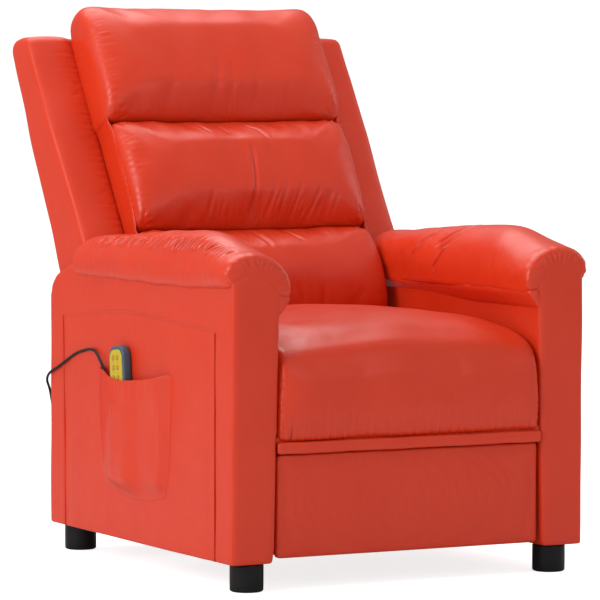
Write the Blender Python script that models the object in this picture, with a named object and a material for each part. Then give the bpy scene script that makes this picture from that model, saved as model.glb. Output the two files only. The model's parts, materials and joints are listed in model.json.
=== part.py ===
"""Upholstered massage recliner: arms, seat, tilting back, folding footrest and wired handset.

Metres, +Z up.  The sitter looks along -Y and the sitter's right side is -X.
Depths are written as distances behind the arm fronts and turned into Y by behind().
"""
import math

import bmesh
import bpy
from mathutils import Matrix, Vector

# ---- driving dimensions -------------------------------------------------
GAP = 0.0004            # clearance between pieces that touch
FRONT = -0.477          # Y of the arm fronts
HALF_WIDTH = 0.360      # outer face of each side panel
ARM_INNER_LOW = 0.2755  # inner face of an arm at its foot
ARM_INNER_TOP = 0.2650  # inner face of an arm under its pad
ARM_BASE = 0.050        # underside of the arms, the height of the feet
ARM_TOP_OUT = 0.530     # top of the arm box at its outer side
ARM_TOP_IN = 0.512      # top of the arm box at its inner side
ARM_BOX_DEPTH = 0.580   # the arm is a full box this far back
ARM_DEPTH = 0.754       # its outer panel and its sill run this far back
SILL_TOP = 0.360        # top of the low box behind the armrest
WALL = 0.010            # thickness of the arm's skin
PANEL_INNER = 0.345     # inner face of the thin outer panel

FOOT_RADIUS = 0.030
FOOT_X = 0.312
FOOT_DEPTHS = {"front": 0.033, "rear": 0.718}

SEAT_BOTTOM = 0.270
RAIL_Z = (0.243, 0.2675)
APRON_Z = (0.2425, 0.2600)
REAR_PANEL_DEPTH = (0.738, 0.752)
REAR_PANEL_Z = (0.055, 0.355)

LEAN = math.radians(30.0)      # the back's lean from the vertical
BACK_REF = (0.676, 0.602)      # depth and height where the back's own axes start
WING_INNER = 0.2535
WING_OUTER = 0.3425
CUSHION_HALF = 0.250
CUSHION_BACK = -0.008          # rear side of the back cushions, off the wings' front plane
CUSHION_PROUD = 0.100          # how far they stand in front of it
GROOVES = (-0.026, 0.210)      # where the lumbar, middle and head cushions meet
HINGE = (0.600, 0.356)         # depth and height of the back's hinge
HINGE_RADIUS = 0.004

PLATE_X = (0.2575, 0.2605)     # fixed mechanism plate
LINK_X = (0.2540, 0.2570)      # rear link, front link and footrest bracket
INNER_X = (0.2505, 0.2535)     # lower and upper link
PIN_RADIUS = 0.0030
HOLE_RADIUS = 0.0034
LINK_HALF = 0.0062
GROUND = (0.100, 0.235)        # rear link's fixed pivot
PAIR = (0.0276, -0.0215)       # from a rear link's pivot to its front link's
LINK_LENGTH = 0.155
LINK_REST = math.radians(-105.0)
UPPER_OFFSET = 0.044           # upper link's pivot along the rear link
BRACKET_PIVOT = (0.0525, 0.190)

FOOTREST_HALF = 0.2700
FOOTREST_Z = (0.056, 0.2395)
FOOTREST_PAD = 0.020
FOOTREST_BOARD = 0.012

POCKET_OUT = 0.3832
HANDSET_TILT = math.radians(6.0)
HANDSET_CENTRE = (-0.3708, 0.418, 0.3415)
HANDSET_SIZE = (0.020, 0.062, 0.135)
CORD_RADIUS = 0.0025
GLAND = (-0.200, 0.160)


# ---- small tools ----------------------------------------------------------
def behind(depth):
    """Y of a point this far behind the arm fronts."""
    return FRONT + depth


def back_point(along, proud):
    """Depth and height of a point given along and in front of the back's wing plane."""
    depth = BACK_REF[0] + along * math.sin(LEAN) - proud * math.cos(LEAN)
    height = BACK_REF[1] + along * math.cos(LEAN) + proud * math.sin(LEAN)
    return depth, height


def material(name, colour, roughness=0.5, metallic=0.0):
    """A Principled material, made once for each name."""
    found = bpy.data.materials.get(name)
    if found:
        return found
    made = bpy.data.materials.new(name)
    made.use_nodes = True
    shader = made.node_tree.nodes["Principled BSDF"]
    shader.inputs["Base Color"].default_value = (*colour, 1.0)
    shader.inputs["Roughness"].default_value = roughness
    shader.inputs["Metallic"].default_value = metallic
    return made


def finish(name, mesh_data, mat):
    """Close a bmesh into a named object."""
    bmesh.ops.recalc_face_normals(mesh_data, faces=mesh_data.faces)
    mesh = bpy.data.meshes.new(name)
    mesh_data.to_mesh(mesh)
    mesh_data.free()
    mesh.materials.append(mat)
    made = bpy.data.objects.new(name, mesh)
    bpy.context.collection.objects.link(made)
    return made


def loft(name, sections, mat):
    """A closed solid through equal-length loops of points."""
    data = bmesh.new()
    rings = [[data.verts.new(point) for point in ring] for ring in sections]
    count = len(rings[0])
    for first, second in zip(rings, rings[1:]):
        for i in range(count):
            j = (i + 1) % count
            data.faces.new((first[i], first[j], second[j], second[i]))
    data.faces.new(rings[0][::-1])
    data.faces.new(rings[-1])
    return finish(name, data, mat)


def side_prism(name, outline, x_range, mat):
    """A (depth, height) outline extruded between two X."""
    sections = [[(x, behind(d), z) for d, z in outline] for x in x_range]
    return loft(name, sections, mat)


def front_prism(name, outline, depths, mat):
    """An (x, z) outline extruded between two depths."""
    sections = [[(x, behind(d), z) for x, z in outline] for d in depths]
    return loft(name, sections, mat)


def box(name, x_range, depths, z_range, mat):
    """A box between two X, two depths and two heights."""
    (x0, x1), (z0, z1) = x_range, z_range
    return front_prism(name, [(x0, z0), (x1, z0), (x1, z1), (x0, z1)], depths, mat)


def rod(name, start, end, radii, mat, sides=16):
    """A round piece between two points; radii is one radius or one for each end."""
    start, end = Vector(start), Vector(end)
    first, last = radii if isinstance(radii, tuple) else (radii, radii)
    turn = (end - start).to_track_quat("Z", "Y").to_matrix().to_4x4()
    sections = []
    for centre, radius in ((start, first), (end, last)):
        ring = []
        for i in range(sides):
            angle = 2 * math.pi * (i + 0.5) / sides
            ring.append(centre + turn @ Vector((radius * math.cos(angle), radius * math.sin(angle), 0)))
        sections.append(ring)
    return loft(name, sections, mat)


def bevel(target, width, segments=2, angle=35.0):
    """Round an object's edges."""
    modifier = target.modifiers.new("round", "BEVEL")
    modifier.width = width
    modifier.segments = segments
    modifier.limit_method = "ANGLE"
    modifier.angle_limit = math.radians(angle)
    return target


def boolean(target, other, operation):
    """Join or cut with another object, which stays as a hidden guide."""
    other.hide_render = True
    other.display_type = "WIRE"
    modifier = target.modifiers.new(operation.lower(), "BOOLEAN")
    modifier.operation = operation
    modifier.solver = "EXACT"
    modifier.object = other
    return target


def tube(name, points, radius, mat, resolution=2):
    """A capped round tube along points."""
    curve = bpy.data.curves.new(name, "CURVE")
    curve.dimensions = "3D"
    curve.bevel_depth = radius
    curve.bevel_resolution = resolution
    curve.use_fill_caps = True
    spline = curve.splines.new("POLY")
    spline.points.add(len(points) - 1)
    for slot, point in zip(spline.points, points):
        slot.co = (*point, 1.0)
    curve.materials.append(mat)
    made = bpy.data.objects.new(name, curve)
    bpy.context.collection.objects.link(made)
    return made


def smooth_route(route, step):
    """Evenly spaced points on a Catmull-Rom curve through a route."""
    ends = [route[0] * 2 - route[1], *route, route[-1] * 2 - route[-2]]
    fine = []
    for before, start, end, after in zip(ends, ends[1:], ends[2:], ends[3:]):
        for i in range(24):
            t = i / 24
            fine.append(0.5 * (2 * start + (end - before) * t
                               + (2 * before - 5 * start + 4 * end - after) * t * t
                               + (3 * start - before - 3 * end + after) * t ** 3))
    fine.append(route[-1])
    total = sum((b - a).length for a, b in zip(fine, fine[1:]))
    count = round(total / step)
    points, run = [fine[0]], 0.0
    for a, b in zip(fine, fine[1:]):
        length = (b - a).length
        while run + length >= len(points) * total / count and len(points) < count:
            points.append(a.lerp(b, (len(points) * total / count - run) / length))
        run += length
    points.append(fine[-1])
    return points


def mirrored(side, x_range):
    """An X range moved to one side, in rising order."""
    return tuple(sorted((side * x_range[0], side * x_range[1])))


def clear_scene():
    """Remove whatever the scene holds."""
    for old in list(bpy.data.objects):
        bpy.data.objects.remove(old, do_unlink=True)


# ---- materials --------------------------------------------------------------
def leather():
    return material("red_leather", (0.76, 0.10, 0.06), 0.38)


def plywood():
    return material("plywood", (0.62, 0.46, 0.28), 0.7)


def black_plastic():
    return material("black_plastic", (0.02, 0.02, 0.022), 0.4)


def steel():
    return material("dark_steel", (0.10, 0.10, 0.11), 0.35, 0.9)


# ---- arms ---------------------------------------------------------------------
def arm_inner_at(height):
    """X of the arm's inner face, which leans in slightly with height."""
    share = (height - ARM_BASE) / (ARM_TOP_IN - ARM_BASE)
    return ARM_INNER_LOW + share * (ARM_INNER_TOP - ARM_INNER_LOW)


def arm_cavity(side):
    """The hollow of an arm, open at its underside."""
    outline = [(WALL, 0.03), (ARM_DEPTH - 0.012, 0.03), (ARM_DEPTH - 0.012, SILL_TOP - WALL),
               (ARM_BOX_DEPTH - WALL, SILL_TOP - WALL), (ARM_BOX_DEPTH - WALL, 0.496), (WALL, 0.496)]
    x_range = mirrored(side, (ARM_INNER_LOW + 0.0115, HALF_WIDTH - 0.011))
    return side_prism(f"cavity_{side}", outline, x_range, plywood())


def arm_shell(side, label):
    """The arm's upholstered box, with the thin panel and low sill behind it."""
    front_outline = [(side * ARM_INNER_LOW, ARM_BASE), (side * HALF_WIDTH, ARM_BASE),
                     (side * HALF_WIDTH, ARM_TOP_OUT), (side * ARM_INNER_TOP, ARM_TOP_IN)]
    shell = front_prism(f"arm_shell_{label}", front_outline, (0.0, ARM_BOX_DEPTH), leather())
    sill_outline = [(side * ARM_INNER_LOW, ARM_BASE), (side * HALF_WIDTH, ARM_BASE),
                    (side * HALF_WIDTH, SILL_TOP), (side * arm_inner_at(SILL_TOP), SILL_TOP)]
    sill = front_prism(f"sill_{label}", sill_outline, (ARM_BOX_DEPTH - 0.02, ARM_DEPTH), leather())
    panel_outline = [(0.560, 0.300), (ARM_DEPTH, 0.300), (ARM_DEPTH, 0.485), (0.749, 0.505),
                     (0.7385, 0.519), (0.716, 0.531), (0.660, 0.549), (0.655, 0.528), (0.560, 0.528)]
    panel = side_prism(f"panel_{label}", panel_outline, mirrored(side, (PANEL_INNER, HALF_WIDTH)), leather())
    boolean(shell, sill, "UNION")
    boolean(shell, panel, "UNION")
    boolean(shell, arm_cavity(side), "DIFFERENCE")
    return shell


def arm_frame(side, label):
    """The plywood panel inside an arm, which stands on the feet."""
    outline = [(0.013, ARM_BASE + GAP), (ARM_DEPTH - 0.015, ARM_BASE + GAP), (ARM_DEPTH - 0.015, 0.345),
               (ARM_BOX_DEPTH - 0.014, 0.345), (ARM_BOX_DEPTH - 0.014, 0.492), (0.013, 0.492)]
    return side_prism(f"arm_frame_{label}", outline, mirrored(side, (0.297, 0.327)), plywood())


def arm_pad(side, label):
    """The stuffed armrest: a crowned section, its rear end leaning with the back's wing."""
    section = [(0.247, 0.5115), (0.241, 0.535), (0.252, 0.577), (0.278, 0.606), (0.312, 0.622),
               (0.342, 0.614), (0.364, 0.588), (0.372, 0.560), (0.368, 0.540), (0.3600, 0.5315)]
    crown = [(-0.008, 0.72), (0.006, 0.86), (0.060, 0.97), (0.200, 1.06), (0.400, 1.02), (0.480, 0.98),
             (0.600, 0.90)]
    sections = []
    for depth, swell in crown:
        ring = []
        inner_limit = WING_INNER if depth > 0.45 else 0.0
        for x, z in section:
            x = max(x, inner_limit + 0.01 * (z - ARM_TOP_IN))
            share = (x - ARM_INNER_TOP) / (HALF_WIDTH - ARM_INNER_TOP)
            base = ARM_TOP_IN + share * (ARM_TOP_OUT - ARM_TOP_IN)
            height = base + GAP + 0.001 + max(0.0, z - base) * swell
            lean = 0.56 * (height - 0.530) if depth == crown[-1][0] else 0.0
            ring.append((side * x, behind(depth + lean), height))
        sections.append(ring)
    return bevel(loft(f"arm_pad_{label}", sections, leather()), 0.006)


def foot(side, label, place, depth):
    """A round plastic foot with a chamfered edge."""
    centre_x, centre_y = side * FOOT_X, behind(depth)
    piece = rod(f"foot_{place}_{label}", (centre_x, centre_y, 0.0), (centre_x, centre_y, ARM_BASE),
                FOOT_RADIUS, black_plastic(), 24)
    return bevel(piece, 0.002, 1)


def arms():
    """Both arms with their frames, pads and feet."""
    for side, label in ((-1, "right"), (1, "left")):
        arm_shell(side, label)
        arm_frame(side, label)
        arm_pad(side, label)
        for place, depth in FOOT_DEPTHS.items():
            foot(side, label, place, depth)


# ---- seat -----------------------------------------------------------------------
def seat_cushion():
    """The deep seat cushion: upright front, crowned top, rear end tucked under the lumbar cushion."""
    stations = [(-0.010, 0.375, 0.385), (-0.003, 0.412, 0.425), (0.025, 0.432, 0.450),
                (0.110, 0.444, 0.470), (0.260, 0.446, 0.476), (0.462, 0.440, 0.458), (0.555, 0.396, 0.404)]
    sections = []
    for depth, side_top, crown in stations:
        low, high = arm_inner_at(SEAT_BOTTOM) - 0.002, arm_inner_at(side_top) - 0.002
        half = [(low, SEAT_BOTTOM), (high, side_top - 0.030), (0.238, side_top), (0.120, crown)]
        ring = [(x, behind(depth), z) for x, z in half]
        ring += [(-x, behind(depth), z) for x, z in reversed(half)]
        sections.append(ring)
    return bevel(loft("seat_cushion", sections, leather()), 0.004, 1)


def seat_frame():
    """Front and rear rails, the padded apron strip and the rear panel."""
    rail_half = PLATE_X[0] - GAP
    box("seat_front_rail", (-rail_half, rail_half), (0.004, 0.054), RAIL_Z, plywood())
    box("seat_rear_rail", (-rail_half, rail_half), (0.528, 0.556), RAIL_Z, plywood())
    apron = box("seat_apron", (-0.2700, 0.2700), (-0.009, 0.0035), APRON_Z, leather())
    bevel(apron, 0.003)
    across = (-PANEL_INNER + GAP, PANEL_INNER - GAP)
    panel = box("rear_panel", across, REAR_PANEL_DEPTH, REAR_PANEL_Z, leather())
    for label, (x, z), radius in (("gland", GLAND, 0.0075), ("inlet", (0.100, 0.100), 0.0085)):
        hole = rod(f"hole_{label}", (x, behind(0.72), z), (x, behind(0.77), z), radius, leather())
        boolean(panel, hole, "DIFFERENCE")
    for side in (-1, 1):
        corner = box(f"sill_clearance_{side}", mirrored(side, (arm_inner_at(SILL_TOP) - 0.001, 0.36)),
                     (0.70, 0.80), (0.0, 0.40), leather())
        boolean(panel, corner, "DIFFERENCE")
    return panel


def seat_springs():
    """Three sinuous springs between the rails."""
    wire, pitch, sway = 0.0016, 0.058, 0.024
    start, end = 0.054 + GAP + wire, 0.528 - GAP - wire
    for number, centre in enumerate((-0.145, 0.0, 0.145), 1):
        count = round(4 * (end - start) / pitch)
        points = []
        for i in range(count + 1):
            depth = start + (end - start) * i / count
            x = centre + sway * math.sin(math.pi * i / 2)
            points.append((x, behind(depth), 0.2612))
        tube(f"seat_spring_{number}", points, wire, steel(), 0)


def motor(name, centre, axis_length, radius, mount):
    """A vibration motor lying along X on its mounting block, with a bare shaft end."""
    x, depth, z = centre
    half = axis_length / 2
    body = rod(name, (x - half, behind(depth), z), (x + half, behind(depth), z), radius, steel(), 20)
    shaft = rod(f"{name}_shaft", (x + half - 0.002, behind(depth), z), (x + half + 0.011, behind(depth), z),
                0.002, steel(), 10)
    boolean(body, shaft, "UNION")
    boolean(body, mount, "UNION")
    weight_start = x + half + 0.001
    weight = rod(f"{name}_weight", (weight_start, behind(depth), z), (weight_start + 0.008, behind(depth), z),
                 radius - 0.003, steel(), 20)
    bite = box(f"{name}_bite", (weight_start - 0.01, weight_start + 0.02), (depth - 0.03, depth + 0.03),
               (z + 0.0045, z + 0.03), steel())
    bore_start, bore_end = (weight_start - 0.01, behind(depth), z), (weight_start + 0.02, behind(depth), z)
    bore = rod(f"{name}_bore", bore_start, bore_end, 0.0025, steel(), 10)
    boolean(weight, bite, "DIFFERENCE")
    boolean(weight, bore, "DIFFERENCE")
    return body


def seat_motor():
    """The motor under the seat springs, on a plate that the springs carry."""
    plate = box("seat_motor_plate", (-0.060, 0.060), (0.240, 0.360), (0.2545, 0.2590), steel())
    saddle = box("seat_motor_saddle", (-0.015, 0.015), (0.290, 0.310), (0.2380, 0.2560), steel())
    body = motor("seat_motor", (0.0, 0.300, 0.232), 0.050, 0.018, saddle)
    boolean(body, plate, "UNION")


# ---- fixed mechanism plates ------------------------------------------------------
def pin_cut(target, label, point, x_range, radius=HOLE_RADIUS):
    """A round hole through a plate, along X."""
    depth, z = point
    low, high = x_range
    hole = rod(f"{label}_hole", (low - 0.01, behind(depth), z), (high + 0.01, behind(depth), z),
               radius, steel(), 12)
    return boolean(target, hole, "DIFFERENCE")


def mechanism_plate(side, label):
    """The steel plate that carries the seat rails, the footrest links and the back's hinge."""
    outline = [(0.004, 0.2675), (0.004, 0.2490), (0.082, 0.2490), (0.088, 0.2260), (0.116, 0.2020),
               (0.138, 0.2020), (0.150, 0.2490), (0.560, 0.2300), (0.600, 0.2300), (0.618, 0.3420),
               (0.614, 0.3700), (0.600, 0.3760), (0.586, 0.3700), (0.5775, 0.3400), (0.5600, 0.2675)]
    x_range = mirrored(side, PLATE_X)
    plate = side_prism(f"mechanism_plate_{label}", outline, x_range, steel())
    front_pivot = (GROUND[0] + PAIR[0], GROUND[1] + PAIR[1])
    pin_cut(plate, f"plate_rear_{label}", GROUND, x_range)
    pin_cut(plate, f"plate_front_{label}", front_pivot, x_range)
    pin_cut(plate, f"plate_hinge_{label}", HINGE, x_range, HINGE_RADIUS + 0.0004)
    return plate


def pivot_bolt(side, label):
    """The shoulder bolt that the back turns on."""
    depth, z = HINGE
    head = rod(f"back_pivot_{label}", (side * (PLATE_X[1] + GAP), behind(depth), z),
               (side * (PLATE_X[1] + 0.004), behind(depth), z), 0.008, steel(), 12)
    shank = rod(f"shank_{label}", (side * 0.2270, behind(depth), z),
                (side * (PLATE_X[1] + 0.002), behind(depth), z), HINGE_RADIUS, steel(), 12)
    return boolean(head, shank, "UNION")


# ---- footrest linkage ---------------------------------------------------------------
def along(start, angle, length):
    """A point in the depth and height plane; angles are measured from the forward direction."""
    return start[0] - length * math.cos(angle), start[1] + length * math.sin(angle)


REAR_END = along(GROUND, LINK_REST, LINK_LENGTH)
FRONT_END = (REAR_END[0] + PAIR[0], REAR_END[1] + PAIR[1])
FRONT_GROUND = (GROUND[0] + PAIR[0], GROUND[1] + PAIR[1])
UPPER_START = along(REAR_END, LINK_REST, -UPPER_OFFSET)
UPPER_END = (BRACKET_PIVOT[0] + UPPER_START[0] - REAR_END[0], BRACKET_PIVOT[1] + UPPER_START[1] - REAR_END[1])


def round_hull(points, radius, steps=6):
    """Outline around discs centred on points, as a convex loop."""
    cloud = []
    for depth, z in points:
        for i in range(4 * steps):
            angle = math.pi * i / (2 * steps)
            cloud.append((depth + radius * math.cos(angle), z + radius * math.sin(angle)))
    cloud.sort()

    def half(ordered):
        chain = []
        for point in ordered:
            while len(chain) > 1 and ((chain[-1][0] - chain[-2][0]) * (point[1] - chain[-2][1])
                                      - (chain[-1][1] - chain[-2][1]) * (point[0] - chain[-2][0])) <= 1e-12:
                chain.pop()
            chain.append(point)
        return chain[:-1]

    return half(cloud) + half(cloud[::-1])


def pin(target, label, side, point, x_from, head_x):
    """A rivet that stands out of a link through its neighbour, with a head beyond it."""
    depth, z = point
    shank = rod(f"{label}_shank", (side * x_from, behind(depth), z), (side * head_x, behind(depth), z),
                PIN_RADIUS, steel(), 12)
    head = rod(f"{label}_head", (side * (head_x - 0.0001), behind(depth), z),
               (side * (head_x + 0.0015), behind(depth), z), 0.0055, steel(), 12)
    boolean(target, shank, "UNION")
    return boolean(target, head, "UNION")


def link(name, side, points, layer, pins, holes):
    """A flat steel link with rivets of its own and holes for its neighbours' rivets."""
    x_range = mirrored(side, layer)
    plate = side_prism(name, round_hull(points, LINK_HALF, 3), x_range, steel())
    head_x = PLATE_X[1] + 0.0004 if layer == LINK_X else LINK_X[1] + 0.0004
    for number, point in enumerate(pins):
        pin(plate, f"{name}_pin_{number}", side, point, (layer[0] + layer[1]) / 2, head_x)
    for number, point in enumerate(holes):
        pin_cut(plate, f"{name}_{number}", point, x_range)
    return plate


def footrest_bracket(side, label):
    """The bent bracket that carries the footrest board on the lower and upper links."""
    x_range = mirrored(side, LINK_X)
    front = FOOTREST_PAD + FOOTREST_BOARD + GAP
    bracket = side_prism(f"footrest_bracket_{label}",
                         round_hull([BRACKET_PIVOT, UPPER_END, (front + LINK_HALF, 0.110)], LINK_HALF, 3),
                         x_range, steel())
    flange = box(f"bracket_flange_{label}", mirrored(side, (0.225, LINK_X[1])), (front, front + 0.003),
                 (0.104, 0.176), steel())
    trim = box(f"bracket_trim_{label}", mirrored(side, (0.20, 0.30)), (-0.02, front), (0.05, 0.26), steel())
    boolean(bracket, flange, "UNION")
    boolean(bracket, trim, "DIFFERENCE")
    pin_cut(bracket, f"bracket_low_{label}", BRACKET_PIVOT, x_range)
    pin_cut(bracket, f"bracket_high_{label}", UPPER_END, x_range)
    return bracket


def footrest_links():
    """Both sides of the double-parallelogram linkage; a cross tube joins the rear links."""
    rear = {}
    for side, label in ((-1, "right"), (1, "left")):
        rear[label] = link(f"rear_link_{label}", side, [GROUND, REAR_END], LINK_X, [GROUND],
                           [REAR_END, UPPER_START])
        link(f"front_link_{label}", side, [FRONT_GROUND, FRONT_END], LINK_X, [FRONT_GROUND], [FRONT_END])
        link(f"lower_link_{label}", side, [REAR_END, FRONT_END, BRACKET_PIVOT], INNER_X,
             [REAR_END, FRONT_END, BRACKET_PIVOT], [])
        link(f"upper_link_{label}", side, [UPPER_START, UPPER_END], INNER_X, [UPPER_START, UPPER_END], [])
        footrest_bracket(side, label)
    depth, z = along(GROUND, LINK_REST, 0.050)
    cross = rod("rear_links", (-LINK_X[0] - 0.001, behind(depth), z), (LINK_X[0] + 0.001, behind(depth), z),
                0.009, steel(), 16)
    for arm in rear.values():
        boolean(cross, arm, "UNION")


def footrest_panel():
    """The footrest's board and its padded cover."""
    front = FOOTREST_PAD + GAP
    box("footrest_board", (-0.262, 0.262), (front, FOOTREST_PAD + FOOTREST_BOARD), (0.062, 0.234), plywood())
    pad = box("footrest_pad", (-FOOTREST_HALF, FOOTREST_HALF), (0.0, FOOTREST_PAD), FOOTREST_Z, leather())
    bevel(pad, 0.005)


# ---- back -----------------------------------------------------------------------------
def back_shell():
    """The back's cover: two padded wings, a rear skin between them and a closed top."""
    wing = [(0.889, 0.974), (0.592, 0.512), (0.7475, 0.512), (0.965, 0.946), (0.957, 0.965), (0.935, 0.972)]
    core = [(0.889, 0.974), back_point(-0.150, 0.0), (0.620, 0.378), (0.680, 0.378), (0.965, 0.946),
            (0.957, 0.965), (0.935, 0.972)]
    shell = side_prism("back_shell", wing, (-WING_OUTER, WING_OUTER), leather())
    centre = side_prism("back_core", core, (-WING_INNER - 0.001, WING_INNER + 0.001), leather())
    hollow_outline = [back_point(0.414, 0.05), back_point(0.414, -0.0665), (0.735, 0.535), (0.662, 0.388),
                      (0.650, 0.360), (0.500, 0.360), back_point(-0.150, 0.30)]
    hollow = side_prism("back_hollow", hollow_outline, (-WING_INNER + 0.0008, WING_INNER - 0.0008), leather())
    boolean(shell, centre, "UNION")
    boolean(shell, hollow, "DIFFERENCE")
    return shell


def back_board():
    """The board inside the back, with a boss at each end of its lower edge for the hinge."""
    section = ((0.400, -0.048), (0.400, -0.060), (-0.240, -0.060), (-0.240, -0.048))
    outline = [back_point(along, proud) for along, proud in section]
    board = side_prism("back_frame", outline, (-0.2500, 0.2500), plywood())
    depth, z = HINGE
    for side in (-1, 1):
        boss = rod(f"hinge_boss_{side}", (side * 0.2100, behind(depth), z), (side * 0.2500, behind(depth), z),
                   0.014, plywood(), 16)
        bore = rod(f"hinge_bore_{side}", (side * 0.2260, behind(depth), z), (side * 0.2600, behind(depth), z),
                   HINGE_RADIUS + 0.0004, plywood(), 12)
        boolean(board, boss, "UNION")
        boolean(board, bore, "DIFFERENCE")
    return board


def back_cushions():
    """Head, middle and lumbar cushions, each a rounded block between the wings."""
    low, high = GROOVES
    outlines = {
        "lumbar_cushion": [(-0.215, CUSHION_BACK), (-0.215, 0.070), (-0.190, 0.095), (-0.060, 0.100),
                           (low - 0.002, 0.078), (low - 0.002, CUSHION_BACK)],
        "middle_cushion": [(low + 0.002, CUSHION_BACK), (low + 0.002, 0.078), (low + 0.040, 0.100),
                           (high - 0.040, 0.100), (high - 0.002, 0.075), (high - 0.002, CUSHION_BACK)],
        "head_cushion": [(high + 0.002, CUSHION_BACK), (high + 0.002, 0.072), (high + 0.040, 0.096),
                         (0.425, 0.094), (0.458, 0.076), (0.468, 0.045), (0.462, 0.012), (0.450, 0.003),
                         (0.410, 0.003), (0.410, CUSHION_BACK)],
    }
    for name, shape in outlines.items():
        outline = [back_point(a, p) for a, p in shape]
        cushion = side_prism(name, outline, (-CUSHION_HALF, CUSHION_HALF), leather())
        bevel(cushion, 0.012, 2, 50.0)


def back_inner_pieces():
    """The heating pad and two vibration motors between the board and the cushions."""
    pad_outline = [back_point(a, p) for a, p in ((-0.190, -0.0110), (-0.190, -0.0090), (-0.050, -0.0090),
                                                 (-0.050, -0.0110))]
    side_prism("heat_pad", pad_outline, (-0.150, 0.150), material("heat_felt", (0.25, 0.25, 0.27), 0.9))
    for name, spot, x in (("back_motor_lower", -0.120, -0.070), ("back_motor_upper", 0.090, 0.050)):
        depth, z = back_point(spot, -0.0310)
        feet = [back_point(spot + a, p) for a, p in ((-0.016, -0.0476), (0.016, -0.0476), (0.016, -0.0380),
                                                     (-0.016, -0.0380))]
        mount = side_prism(f"{name}_mount", feet, (x - 0.015, x + 0.015), steel())
        motor(name, (x, depth, z), 0.045, 0.014, mount)


# ---- electrics -----------------------------------------------------------------------------
def side_pocket():
    """The patch pocket on the right arm: open at its mouth and against the panel."""
    outline = [(0.2300, 0.3670), (0.2350, 0.2380), (0.2500, 0.1520), (0.2750, 0.1330), (0.3500, 0.1300),
               (0.4850, 0.1340), (0.5110, 0.1500), (0.5250, 0.2380), (0.5360, 0.3470), (0.3800, 0.3470)]
    pocket = side_prism("side_pocket", outline, (-POCKET_OUT, -HALF_WIDTH - GAP), leather())
    hollow_outline = [(0.2345, 0.3900), (0.2395, 0.2400), (0.2550, 0.1580), (0.2780, 0.1375),
                      (0.3500, 0.1345), (0.4830, 0.1385), (0.5065, 0.1530), (0.5205, 0.2400),
                      (0.5315, 0.3900)]
    hollow = side_prism("pocket_hollow", hollow_outline, (-POCKET_OUT + 0.0020, -0.3500), leather())
    return boolean(pocket, hollow, "DIFFERENCE")


def turned_about_handset(points):
    """Points in the handset's own frame moved to where it stands in the pocket."""
    centre = Vector((HANDSET_CENTRE[0], behind(HANDSET_CENTRE[1]), HANDSET_CENTRE[2]))
    turn = Matrix.Rotation(-HANDSET_TILT, 3, "X")
    return [centre + turn @ Vector(point) for point in points]


def handset_block(name, x_range, y_range, z_range, mat):
    """A box in the handset's own frame."""
    (x0, x1), (y0, y1), (z0, z1) = x_range, y_range, z_range
    rings = [turned_about_handset([(x, y0, z0), (x, y1, z0), (x, y1, z1), (x, y0, z1)]) for x in (x0, x1)]
    return loft(name, rings, mat)


def handset():
    """The handset's shell, its face plate, its keys and the strain relief of its cord."""
    half_x, half_y, half_z = (size / 2 for size in HANDSET_SIZE)
    shell = handset_block("handset_shell", (-half_x + 0.002, half_x), (-half_y, half_y), (-half_z, half_z),
                          material("grey_plastic", (0.10, 0.15, 0.20), 0.45))
    bevel(shell, 0.005, 2)
    face_x = (-half_x + 0.0004, -half_x + 0.0018)
    face_y, face_z = (-half_y + 0.006, half_y - 0.006), (-half_z + 0.012, half_z - 0.008)
    face = handset_block("handset_face", face_x, face_y, face_z,
                         material("yellow_plastic", (0.72, 0.58, 0.02), 0.4))
    spots = {"key_wide": (0.0, -0.012, 0.012)}
    for row, height in enumerate((0.046, 0.028, 0.010)):
        for column, across in enumerate((-0.0085, 0.0085)):
            spots[f"key_{row + 1}{'ab'[column]}"] = (across, height, 0.0045)
    for name, (across, height, reach) in spots.items():
        well = handset_block(f"{name}_well", (-half_x - 0.001, -half_x + 0.0050),
                             (across - reach - 0.0004, across + reach + 0.0004),
                             (height - 0.0049, height + 0.0049), black_plastic())
        boolean(face, well, "DIFFERENCE")
        boolean(shell, well, "DIFFERENCE")
        handset_block(name, (-half_x - 0.0003, -half_x + 0.0032), (across - reach, across + reach),
                      (height - 0.0045, height + 0.0045), black_plastic())
    start, end = turned_about_handset([(0.001, 0.0, -half_z - GAP), (0.001, 0.0, -half_z - 0.020)])
    rod("handset_strain_relief", start, end, (0.0055, 0.0034), black_plastic(), 12)


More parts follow.
